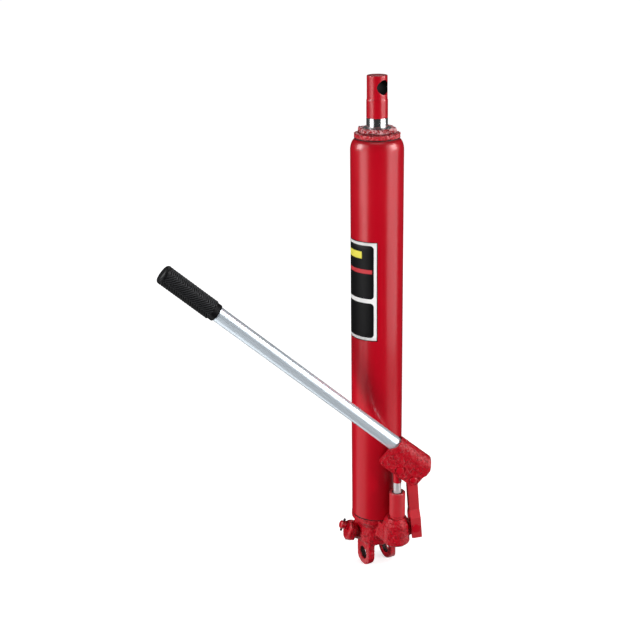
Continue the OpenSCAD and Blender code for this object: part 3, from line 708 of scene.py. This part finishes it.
def closed_copy(node, name, voxel, passes):
    """A copy of a CAD node with soft edges: closed at voxel size, then smoothed.

    Each pass moves a point half way to the mean of its neighbours."""
    thing = bpy.data.objects.new(name, frame["nodes"][node].data.copy())
    bpy.context.scene.collection.objects.link(thing)
    work = bmesh.new()
    work.from_mesh(thing.data)
    bmesh.ops.remove_doubles(work, verts=work.verts, dist=MERGE_COPY)
    work.to_mesh(thing.data)
    work.free()
    remesh = thing.modifiers.new("closed", "REMESH")
    remesh.mode = "VOXEL"
    remesh.voxel_size = voxel
    smooth = thing.modifiers.new("rounded", "SMOOTH")
    smooth.factor = 0.5
    smooth.iterations = passes
    settled = thing.evaluated_get(bpy.context.evaluated_depsgraph_get())
    mesh = bpy.data.meshes.new_from_object(settled)
    thing.modifiers.clear()
    thing.data = mesh
    mesh.shade_smooth()
    return thing


def read_vectors(values, key):
    """Array of the vectors that those parts of a mesh hold under that key, one to a row."""
    found = np.zeros(len(values) * 3)
    values.foreach_get(key, found)
    return found.reshape(-1, 3)


def clear_bore(points, x, y, radius, low, high):
    """Opens an upright bore: points between low and high, nearer its axis than radius, move out.

    Each keeps its direction from the axis, and ends at the radius."""
    off = points[:, :2] - (x, y)
    distance = np.linalg.norm(off, axis=1)
    near = (distance < radius) & (points[:, 2] > low) & (points[:, 2] < high)
    points[near, :2] = (x, y) + off[near] * (radius / distance[near])[:, None]


def roughen(thing, rough, grain, seed, sink, bore=None):
    """Cast skin: each point moves along its normal by rough times the waves, less the sink.

    The waves have lengths about the grain, and are cut off at WAVE_TOP. A bore is cleared after
    that, as clear_bore says."""
    mesh = thing.data
    points = read_vectors(mesh.vertices, "co")
    normals = read_vectors(mesh.vertex_normals, "vector")
    height = rough * np.clip(waves(points, grain, seed), -WAVE_TOP, WAVE_TOP) - sink
    points += normals * height[:, None]
    if bore:
        clear_bore(points, *bore)
    mesh.vertices.foreach_set("co", points.reshape(-1))
    mesh.update()


def place(thing, body, slot_name, kind, *nodes):
    """Finishes a new piece, hangs it from the body that it rides on, and hides the nodes that it
    stands for.
    """
    dress(thing, kind)
    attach(thing, body)
    if nodes:
        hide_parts(*nodes)
    return thing


# Lever's frame: along its pins to the near side, level and away from the handle, along the handle
# to the grip, and square to pins and handle. The handle's axis passes the plunger pin at
# HANDLE_LIFT, and the grip ends HANDLE_REACH along it from there
LEVER_TURN = math.radians(19)
HANDLE_RISE = math.radians(41)
ACROSS = Vector((math.cos(LEVER_TURN), -math.sin(LEVER_TURN), 0))
BACK = Vector((math.sin(LEVER_TURN), math.cos(LEVER_TURN), 0))
OUTWARD = -BACK * math.cos(HANDLE_RISE) + Vector((0, 0, math.sin(HANDLE_RISE)))
SQUARE = OUTWARD.cross(ACROSS)
PLUNGER_PIN = Vector((50.0, 0.0, 139.5)) * MM
HANDLE_LIFT = 21.3 * MM
HANDLE_REACH = 381 * MM


def on_axis(centre, direction, first, second, along, angle, radius):
    """Points about an axis through centre, whose direction is square to first and second.

    Each is centre + along direction + radius (cos(angle) first + sin(angle) second)."""
    return (
        np.array(centre)
        + along[..., None] * np.array(direction)
        + (radius * np.cos(angle))[..., None] * np.array(first)
        + (radius * np.sin(angle))[..., None] * np.array(second)
    )


def on_handle(along, angle, radius):
    """Points about the handle's axis, along it from beside the plunger pin."""
    foot = PLUNGER_PIN + SQUARE * HANDLE_LIFT
    return on_axis(foot, OUTWARD, ACROSS, SQUARE, along, angle, radius)


def on_pin(centre, along, angle, radius):
    """Points about a pin's axis, along it to the near side from its centre."""
    return on_axis(centre, ACROSS, BACK, (0.0, 0.0, 1.0), along, angle, radius)


class JackSizes(bpy.types.PropertyGroup):
    """Sizes that a user may change."""

    label_low: bpy.props.FloatProperty(
        name="Label foot", description="Height of the foot of the label",
        default=0.299, unit="LENGTH", subtype="DISTANCE")
    label_high: bpy.props.FloatProperty(
        name="Label head", description="Height of the head of the label",
        default=0.422, unit="LENGTH", subtype="DISTANCE")
    label_arc: bpy.props.FloatProperty(
        name="Label width", description="Width of the label round the tank",
        default=0.110, unit="LENGTH", subtype="DISTANCE")
    label_right: bpy.props.FloatProperty(
        name="Label edge", description="Direction of the right edge of the label",
        default=math.radians(-29.5), unit="ROTATION", subtype="ANGLE")
    rib_pitch: bpy.props.FloatProperty(
        name="Rib pitch", description="Distance between the ribs of the grip",
        default=0.0033, unit="LENGTH", subtype="DISTANCE")
    rib_depth: bpy.props.FloatProperty(
        name="Rib depth", description="Depth of the ribs of the grip",
        default=0.0009, unit="LENGTH", subtype="DISTANCE")


class JackColours(bpy.types.PropertyGroup):
    """Colours that a user may change."""

    paint: bpy.props.FloatVectorProperty(
        name="Paint", description="Red paint", default=(0.50, 0.0006, 0.011),
        subtype="COLOR", min=0.0, max=1.0)
    # Paler paint of the castings' high grains: partly wear, partly painted glints
    glint_and_wear: bpy.props.FloatVectorProperty(
        name="Chalk", description="Paler paint on the high grains of the castings",
        default=(0.88, 0.42, 0.44), subtype="COLOR", min=0.0, max=1.0)
    zinc: bpy.props.FloatVectorProperty(
        name="Zinc", description="Plating of the handle", default=(0.78, 0.87, 0.95),
        subtype="COLOR", min=0.0, max=1.0)
    grip: bpy.props.FloatVectorProperty(
        name="Grip", description="Rubber of the grip", default=(0.003, 0.003, 0.0035),
        subtype="COLOR", min=0.0, max=1.0)
    # Colour of the grip's paler ridges: partly dust, partly painted sheen
    ridge_dust_and_sheen: bpy.props.FloatVectorProperty(
        name="Grip ridges", description="Dulled rubber along the ridges of the grip",
        default=(0.12, 0.124, 0.13), subtype="COLOR", min=0.0, max=1.0)


# Camera, from the outline of the tank and foot, in millimetres, and in metres how far it sees.
# The viewer stands VIEW_WAY from +X towards -Y
VIEW_WAY = math.radians(31)
CAMERA_BACK = 1336.94
CAMERA_HIGH = 773.97
CAMERA_YAW = math.radians(-2.976)
CAMERA_DIP = math.radians(18.894)
CAMERA_ROLL = math.radians(-0.888)
CAMERA_LENS = 65.0
CAMERA_SENSOR = 36.0
CAMERA_SIGHT = 50.0


def seen(right, away, up):
    """A vector given to the right of, away from and above the viewer, in the part's frame."""
    towards = Vector((math.cos(VIEW_WAY), -math.sin(VIEW_WAY), 0))
    rightward = Vector((math.sin(VIEW_WAY), math.cos(VIEW_WAY), 0))
    return rightward * right - towards * away + Vector((0, 0, up))


def make_camera():
    """Camera at the place and turn of the photograph's.

    It looks along (sin yaw cos dip, cos yaw cos dip, -sin dip) as seen() takes it, and its right
    and up are turned about that by the roll."""
    dip, yaw = CAMERA_DIP, CAMERA_YAW
    forward = seen(math.sin(yaw) * math.cos(dip), math.cos(yaw) * math.cos(dip), -math.sin(dip))
    level = seen(math.cos(yaw), -math.sin(yaw), 0)
    above = level.cross(forward)
    right = level * math.cos(CAMERA_ROLL) + above * math.sin(CAMERA_ROLL)
    up = above * math.cos(CAMERA_ROLL) - level * math.sin(CAMERA_ROLL)
    camera = bpy.data.objects.new("camera", bpy.data.cameras.new("camera"))
    bpy.context.scene.collection.objects.link(camera)
    camera.data.lens = CAMERA_LENS
    camera.data.sensor_width = CAMERA_SENSOR
    camera.data.clip_end = CAMERA_SIGHT
    turn = Matrix((right, up, -forward)).transposed().to_4x4()
    camera.matrix_world = Matrix.Translation(seen(0, -CAMERA_BACK, CAMERA_HIGH) * MM) @ turn
    bpy.context.scene.camera = camera


# Lamps: degrees to the right of the viewer's side, metres away and up, width, height, watts.
# Those lower than UPRIGHT_BELOW stand upright, and the others are turned to LAMP_AIM
LAMPS = {
    "left_box": (-60, 0.8, 0.6, 0.55, 1.2, 4.4),
    "right_box": (70, 0.8, 0.6, 0.8, 1.2, 7.5),
    "left_high_box": (-82, 0.7, 0.8, 0.35, 0.4, 5.0),
    "right_high_box": (78, 0.7, 0.8, 0.35, 0.4, 5.0),
    "left_flood": (-57, 1.1, 0.25, 0.5, 0.6, 13.2),
    "right_flood": (60, 1.1, 0.4, 0.35, 0.4, 10.4),
    "top_box": (0, 0.2, 1.8, 1.0, 1.0, 4.0),
    "back_box": (180, 1.3, 1.9, 0.7, 0.9, 9.0),
}
MIRRORED_ONLY = ("left_box", "right_box", "left_high_box", "right_high_box")
UNMIRRORED = ("left_flood", "right_flood")
LAMP_AIM = Vector((0, 0, 0.35))
UPRIGHT_BELOW = 1.0
# Half the side of the floor, in metres
FLOOR_REACH = 60.0


def make_lamp(name, angle, away, high, width, tall, power):
    """Soft rectangular lamp, upright beside the object or turned to it, and not seen itself.

    Boxes show in gloss, floods don't, and the upright boxes light nothing else."""
    data = bpy.data.lights.new(name, "AREA")
    data.shape = "RECTANGLE"
    data.size, data.size_y = width, tall
    data.energy = power
    turn = math.radians(angle)
    at = seen(math.sin(turn), -math.cos(turn), 0) * away + Vector((0, 0, high))
    aim = Vector((0, 0, high)) if high < UPRIGHT_BELOW else LAMP_AIM
    lamp = bpy.data.objects.new(name, data)
    bpy.context.scene.collection.objects.link(lamp)
    way = (aim - at).to_track_quat("-Z", "Y")
    lamp.matrix_world = Matrix.Translation(at) @ way.to_matrix().to_4x4()
    lamp.visible_camera = False
    lamp.visible_glossy = name not in UNMIRRORED
    lamp.visible_diffuse = name not in MIRRORED_ONLY


def make_world():
    """White to the camera, dark in reflections, and plain grey light: one strength for each."""
    world = bpy.data.worlds.new("studio")
    bpy.context.scene.world = world
    world.use_nodes = True
    world.node_tree.nodes.clear()
    wire = Wire(world.node_tree)
    seen_straight, gloss = ray_kinds(wire)
    light = seen_straight + (1 - seen_straight) * (gloss * ROOM + (1 - gloss) * SKY)
    ground = wire.add("ShaderNodeBackground", None, {"Color": grey(1.0), "Strength": light})
    wire.add("ShaderNodeOutputWorld", None, {"Surface": ground})


class JACK_OT_stage(bpy.types.Operator):
    """Camera, lamps, world and floor"""

    bl_idname = "jack.stage"
    bl_label = "Stage"

    def execute(self, context):
        """The floor is a square, FLOOR_REACH to each side, level with the object's foot."""
        context.scene.view_settings.view_transform = "Standard"
        make_camera()
        make_world()
        for name, settings in LAMPS.items():
            make_lamp(name, *settings)
        corners = np.array([[-1.0, -1, 0], [1, -1, 0], [1, 1, 0], [-1, 1, 0]]) * FLOOR_REACH
        corners[:, 2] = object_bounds()[CORNER_LOW][2]
        floor = mesh_object("floor", corners, np.array([[0, 1, 2, 3]]))
        floor.data.materials.append(material_of("floor"))
        floor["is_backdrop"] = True
        return {"FINISHED"}


class JACK_OT_finishes(bpy.types.Operator):
    """Materials of all the solids of the model"""

    bl_idname = "jack.finishes"
    bl_label = "Finishes"

    def execute(self, context):
        for kind, names in NODES_BY_FINISH.items():
            for name in names:
                dress(frame["nodes"][name], kind)
        return {"FINISHED"}


# Tank: wall, and the ellipse of its shoulder, with its two half axes and how far it is followed.
# The bevel at the foot is rounded by EDGE_ROUND of its size
TANK_WALL = 2.5 * MM
SHOULDER_IN = 7.5 * MM
SHOULDER_DROP = 14 * MM
SHOULDER_TURN = math.radians(82)
SHOULDER_STEPS = 25
FOOT_EDGE = 0.4 * MM
EDGE_ROUND = 0.2
TANK_COLUMNS = 192


class JACK_OT_tank(bpy.types.Operator):
    """Reservoir tank with its drawn shoulder"""

    bl_idname = "jack.tank"
    bl_label = "Tank"

    def execute(self, context):
        """Profile turned about the ram's axis: straight wall, then an ellipse in to the mouth.

        It runs up the outside, with a small bevel at the foot, and back down inside the wall."""
        low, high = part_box("reservoir_tube")
        outside, foot, edge = high[0], low[2], FOOT_EDGE
        corner = EDGE_ROUND * edge
        inside, middle = outside - TANK_WALL, outside - SHOULDER_IN
        turn = np.linspace(0, SHOULDER_TURN, SHOULDER_STEPS)
        top = high[2] - SHOULDER_DROP * math.sin(SHOULDER_TURN)
        radius = np.concatenate([
            [inside, inside, outside - edge, outside - corner, outside, outside],
            middle + SHOULDER_IN * np.cos(turn),
            middle + (SHOULDER_IN - TANK_WALL) * np.cos(turn[::-1]),
            [inside],
        ])
        height = np.concatenate([
            [foot + edge, foot, foot, foot + corner, foot + edge, foot + 3 * edge],
            top + SHOULDER_DROP * np.sin(turn),
            top + (SHOULDER_DROP - TANK_WALL) * np.sin(turn[::-1]),
            [foot + edge],
        ])
        r, z, a = turned(radius, height, TANK_COLUMNS)
        tank = surface("tank_skin", np.stack([r * np.cos(a), r * np.sin(a), z], axis=-1))
        place(tank, "base", "red_paint", "gloss", "reservoir_tube")
        return {"FINISHED"}


# Room that the base's skin leaves round the plunger, which travels down by PLUNGER_TRAVEL, and
# how far that room runs on above the barrel's foot
PLUNGER_TRAVEL = 11.6 * MM
PLUNGER_ROOM = 0.6 * MM
BARREL_OVERLAP = 1.0 * MM


class JACK_OT_castings(bpy.types.Operator):
    """Base, socket and head nut, with the soft edges and skin of castings"""

    bl_idname = "jack.castings"
    bl_label = "Castings"

    def execute(self, context):
        foot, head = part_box("plunger_rod")
        radius = (head[0] - foot[0]) / 2 + PLUNGER_ROOM
        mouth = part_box("pump_barrel")[CORNER_LOW][2] + BARREL_OVERLAP
        bore = (PLUNGER_PIN.x, 0.0, radius, foot[2] - PLUNGER_TRAVEL, mouth)
        base = closed_copy("base_casting", "base_skin", voxel=0.7 * MM, passes=6)
        roughen(base, rough=0.12 * MM, grain=3.2 * MM, seed=3, sink=0.3 * MM, bore=bore)
        place(base, "base", "red_paint", "cast", "base_casting")
        socket = closed_copy("handle_socket", "socket_skin", voxel=0.6 * MM, passes=5)
        roughen(socket, rough=0.08 * MM, grain=3.2 * MM, seed=5, sink=0.13 * MM)
        place(socket, "socket", "red_paint", "cast", "handle_socket")
        nut = closed_copy("head_nut", "nut_skin", voxel=0.6 * MM, passes=2)
        roughen(nut, rough=0.42 * MM, grain=2.8 * MM, seed=7, sink=0.55 * MM)
        place(nut, "base", "red_paint", "crust", "head_nut")
        eye = closed_copy("ram_eye", "eye_skin", voxel=0.4 * MM, passes=8)
        place(eye, "ram", "red_paint", "gloss", "ram_eye")
        return {"FINISHED"}


# Pins: node, body, centre, stem and head radius, distance from the centre to the face that the
# head sits on, height of its dome
PINS = (
    ("plunger_pin", "socket", PLUNGER_PIN, 3.75 * MM, 4.7 * MM, 12.0 * MM, 0.5 * MM),
    ("link_pin", "socket", Vector((55.774, 16.770, 124.083)) * MM, 3.5 * MM, 4.3 * MM,
     10.7 * MM, 1.3 * MM),
    ("foot_pin", "base", Vector((57.358, 21.369, 57.0)) * MM, 3.5 * MM, 5.75 * MM,
     10.8 * MM, 0.6 * MM),
)
# How far a pin stands out at its tail, its head's straight rim, its bevels, the point that rounds
# the tail's bevel, in from the stem and up from the end, and the stem's straight neck
PIN_TAIL = 2.5 * MM
PIN_RIM = 1.0 * MM
PIN_BEVEL = 0.4 * MM
BEVEL_IN = 0.3 * MM
BEVEL_UP = 0.05 * MM
HEAD_BEVEL = 0.2 * MM
PIN_NECK = 0.2 * MM
PIN_COLUMNS = 48
# Points along a quarter turn of a dome or a rounded end
ROUND_STEPS = 9
# Snap rings: outer radius, thickness, bevel, points round, angles of the two ends, share of the
# room between stem and rim that the plain ring fills, and lugs. A lug is the cosine of LUGS
# times the angle from the top, times LUG_SLOPE, less LUG_FROM
CLIP_RIM = 5.5 * MM
CLIP_THICK = 1.2 * MM
CLIP_BEVEL = 0.2 * MM
CLIP_STEPS = 97
CLIP_FIRST = -0.32 * math.pi
CLIP_LAST = 1.32 * math.pi
CLIP_BAND = 0.45
LUGS = 3
LUG_SLOPE = 3
LUG_FROM = 1.6


def headed_pin(name, centre, stem, head, face, tail, dome):
    """Pin turned about its axis: bevelled tail, stem, and a head whose top is an arc dome high.

    The arc is head cos(t) out and dome sin(t) along, for t from 0 to a quarter turn."""
    turn = np.linspace(0, QUARTER_TURN, ROUND_STEPS)[1:]
    radius = np.concatenate([
        [0.0, stem - PIN_BEVEL, stem - BEVEL_IN, stem, stem, stem],
        [head - HEAD_BEVEL, head, head],
        head * np.cos(turn),
    ])
    along = np.concatenate([
        [-tail, -tail, -tail + BEVEL_UP, -tail + PIN_BEVEL, face - PIN_NECK, face],
        [face, face + HEAD_BEVEL, face + PIN_RIM],
        face + PIN_RIM + dome * np.sin(turn),
    ])
    r, s, a = turned(radius, along, PIN_COLUMNS)
    return surface(name, on_pin(centre, s, a, r))


def snap_ring(name, centre, stem, rim, low, high):
    """Flat ring open below, on three inner lugs: its inner radius drops to the stem at each.

    The section is a rectangle with small bevels, carried round from one end to the other, and
    each end is closed to its middle."""
    angle = np.linspace(CLIP_FIRST, CLIP_LAST, CLIP_STEPS)
    lug = np.clip(np.cos(LUGS * (angle - QUARTER_TURN)) * LUG_SLOPE - LUG_FROM, 0, 1)
    inside = rim - (rim - stem) * (CLIP_BAND + (1 - CLIP_BAND) * lug)
    bevel = CLIP_BEVEL
    # Corners of the section: 0 at the inner and 1 at the outer radius, shift off it, place along
    corners = ((0, bevel, low), (0, 0, low + bevel), (0, 0, high - bevel), (0, bevel, high),
               (1, -bevel, high), (1, 0, high - bevel), (1, 0, low + bevel), (1, -bevel, low))
    share, shift, along = (np.array(column, dtype=float) for column in zip(*corners))
    r = inside[:, None] * (1 - share) + rim * share + shift
    s = np.repeat(along[None, :], angle.size, axis=0)
    r = np.concatenate([r[:1] * 0 + r[:1].mean(), r, r[-1:] * 0 + r[-1:].mean()])
    s = np.concatenate([s[:1] * 0 + s.mean(), s, s[:1] * 0 + s.mean()])
    a = np.repeat(np.concatenate([angle[:1], angle, angle[-1:]])[:, None], len(corners), axis=1)
    return surface(name, on_pin(centre, s, a, r))


class JACK_OT_pins(bpy.types.Operator):
    """Linkage pins with their heads, and the snap rings on their far ends"""

    bl_idname = "jack.pins"
    bl_label = "Pins"

    def execute(self, context):
        """A ring lies against the far face, as far from the middle as the near one."""
        for node, body, centre, stem, head, face, dome in PINS:
            tail = face + PIN_TAIL
            pin = headed_pin(node + "_turned", centre, stem, head, face, tail, dome)
            place(pin, body, "red_paint", "gloss", node)
            ring = snap_ring(node + "_ring", centre, stem, CLIP_RIM, -face - CLIP_THICK, -face)
            place(ring, body, "zinc_plate", "zinc", node + "_clip")
        return {"FINISHED"}


# Grip: radii and lengths of sleeve, bore, rounded end and cuff, the slope from cuff to sleeve,
# the cuff's bevel, and the points along the ribs and round the grip
GRIP_RADIUS = 12.0 * MM
GRIP_BORE = 9.3 * MM
GRIP_LENGTH = 79 * MM
GRIP_ROUNDING = 4.0 * MM
CUFF_RADIUS = 10.75 * MM
CUFF_LENGTH = 6.0 * MM
CUFF_STEP = 1.0 * MM
CUFF_EDGE = 0.4 * MM
RIB_ROWS = 200
GRIP_COLUMNS = 168
# Ribs: zigzags round the grip, the share of one that they start at and how far each reaches
# along it, where the ribs begin, and the stretches over which they come in and fade out
ZIGZAGS = 3
ZIGZAG_START = 0.2
ZIGZAG_REACH = 10.0 * MM
RIB_START = 1.5 * MM
RIB_IN = 1.0 * MM
RIB_OUT = 3.0 * MM
# Paler ridges, partly dust and partly painted sheen: their strength at the sides before the power
# that follows is taken, which leaves more at the top, where the light falls, than below, and the
# power that makes them narrow
DUST_SHEEN_SIDES = 0.45
DUST_SHEEN_FALL = 1.5
DUST_SHEEN_NARROW = 3


class JACK_OT_grip(bpy.types.Operator):
    """Ribbed rubber grip"""

    bl_idname = "jack.grip"
    bl_label = "Grip"

    def execute(self, context):
        """Radius is the sleeve's profile along the handle, less the ribs.

        A rib is a cosine of the place along the handle, and that place zigzags round it. Its
        ridge is paler on the side that is up: partly dust, partly a painted sheen for the light
        from above."""
        sizes = context.scene.jack_sizes
        steps = np.linspace(0, QUARTER_TURN, ROUND_STEPS)[1:]
        end = GRIP_LENGTH - GRIP_ROUNDING
        ribbed = np.linspace(CUFF_LENGTH + CUFF_STEP, end, RIB_ROWS)
        along = np.concatenate([
            [0.0, 0.0, CUFF_EDGE, CUFF_LENGTH], ribbed,
            end + GRIP_ROUNDING * np.sin(steps), [GRIP_LENGTH],
        ])
        outline = np.concatenate([
            [GRIP_BORE, CUFF_RADIUS - CUFF_EDGE, CUFF_RADIUS, CUFF_RADIUS],
            np.full(RIB_ROWS, GRIP_RADIUS),
            GRIP_RADIUS - GRIP_ROUNDING * (1 - np.cos(steps)), [0.0],
        ])
        profile, s, a = turned(outline, along, GRIP_COLUMNS)
        zigzag = np.abs((a * ZIGZAGS / TAU + ZIGZAG_START) % 1.0 - 0.5) * 2
        ribs = 0.5 - 0.5 * np.cos(TAU * (s - zigzag * ZIGZAG_REACH) / sizes.rib_pitch)
        come_in = np.clip((s - CUFF_LENGTH - RIB_START) / RIB_IN, 0, 1)
        fade = come_in * np.clip((end - s) / RIB_OUT, 0, 1)
        r = profile - sizes.rib_depth * ribs * fade
        # Ridges paler on the upper side: partly dust, partly painted sheen for the light from
        # above
        dust_and_sheen_up = np.clip(DUST_SHEEN_SIDES + (1 - DUST_SHEEN_SIDES) * np.sin(a), 0, 1) ** DUST_SHEEN_FALL
        grip = surface("grip_sleeve", on_handle(HANDLE_REACH - GRIP_LENGTH + s, a, r),
                       shade=(1 - ribs) ** DUST_SHEEN_NARROW * fade * dust_and_sheen_up)
        place(grip, "handle", "grip_rubber", "grip", "handle_grip")
        return {"FINISHED"}


# Label: how far it stands proud of the tank, its thickness, and its points across and up
LABEL_PROUD = 0.1 * MM
LABEL_THICK = 0.25 * MM
LABEL_COLUMNS = 61
LABEL_ROWS = 13


class JACK_OT_label(bpy.types.Operator):
    """Plain label on the tank"""

    bl_idname = "jack.label"
    bl_label = "Label"

    def execute(self, context):
        """Sheet at the tank's radius: its columns run round the tank, its rows up it.

        A second sheet lies its thickness further in, and a strip along the edge joins them. Both
        have the same flat map, from 0 to 1 across and up."""
        sizes = context.scene.jack_sizes
        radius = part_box("reservoir_tube")[CORNER_HIGH][0] + LABEL_PROUD
        inner = radius - LABEL_THICK
        turn = sizes.label_arc / radius
        angle = sizes.label_right - turn * np.linspace(1, 0, LABEL_COLUMNS)
        height = np.linspace(sizes.label_low, sizes.label_high, LABEL_ROWS)
        z, a = np.meshgrid(height, angle, indexing="ij")
        front = np.stack([radius * np.cos(a), radius * np.sin(a), z], axis=-1)
        back = np.stack([inner * np.cos(a), inner * np.sin(a), z], axis=-1)
        count = z.size
        index = np.arange(count).reshape(z.shape)
        sheet = np.stack([index[:-1, :-1], index[:-1, 1:], index[1:, 1:], index[1:, :-1]], axis=-1)
        sheet = sheet.reshape(-1, 4)
        rim = np.concatenate([index[0, :-1], index[:-1, -1], index[-1, :0:-1], index[:0:-1, 0]])
        after = np.roll(rim, -1)
        edge = np.stack([rim, rim + count, after + count, after], axis=-1)
        faces = np.concatenate([sheet, sheet[:, ::-1] + count, edge])
        flat = np.stack([(angle[None, :] - angle[0]) / turn + 0 * z,
                         (z - sizes.label_low) / (sizes.label_high - sizes.label_low)], axis=-1)
        uv = np.concatenate([flat.reshape(-1, 2)] * 2)
        points = np.concatenate([front.reshape(-1, 3), back.reshape(-1, 3)])
        label = mesh_object("tank_label", points, faces, uv)
        place(label, "base", "red_paint", "label")
        return {"FINISHED"}


class JACK_PT_panel(bpy.types.Panel):
    """Sizes and colours of the jack, and a button for each group of its pieces"""

    bl_idname = "JACK_PT_panel"
    bl_label = "Long Ram Jack"
    bl_space_type = "VIEW_3D"
    bl_region_type = "UI"
    bl_category = "Jack"

    def draw(self, context):
        for group in (context.scene.jack_sizes, context.scene.jack_colours):
            for name in group.bl_rna.properties.keys():
                if name not in ("name", "rna_type"):
                    self.layout.prop(group, name)
        for step in STEPS:
            self.layout.operator(step.bl_idname)


STEPS = (
    JACK_OT_stage, JACK_OT_finishes, JACK_OT_tank, JACK_OT_castings, JACK_OT_pins, JACK_OT_grip,
    JACK_OT_label,
)
CLASSES = (JackSizes, JackColours) + STEPS + (JACK_PT_panel,)


def register():
    """Adds the classes, and the sizes and colours to every scene."""
    for item in CLASSES:
        bpy.utils.register_class(item)
    bpy.types.Scene.jack_sizes = bpy.props.PointerProperty(type=JackSizes)
    bpy.types.Scene.jack_colours = bpy.props.PointerProperty(type=JackColours)


def unregister():
    """Takes away what register adds, in the opposite order."""
    del bpy.types.Scene.jack_colours
    del bpy.types.Scene.jack_sizes
    for item in reversed(CLASSES):
        bpy.utils.unregister_class(item)


def main():
    register()
    for step in STEPS:
        group, action = step.bl_idname.split(".")
        getattr(getattr(bpy.ops, group), action)()
    bpy.context.view_layer.update()


if __name__ == "__main__":
    main()
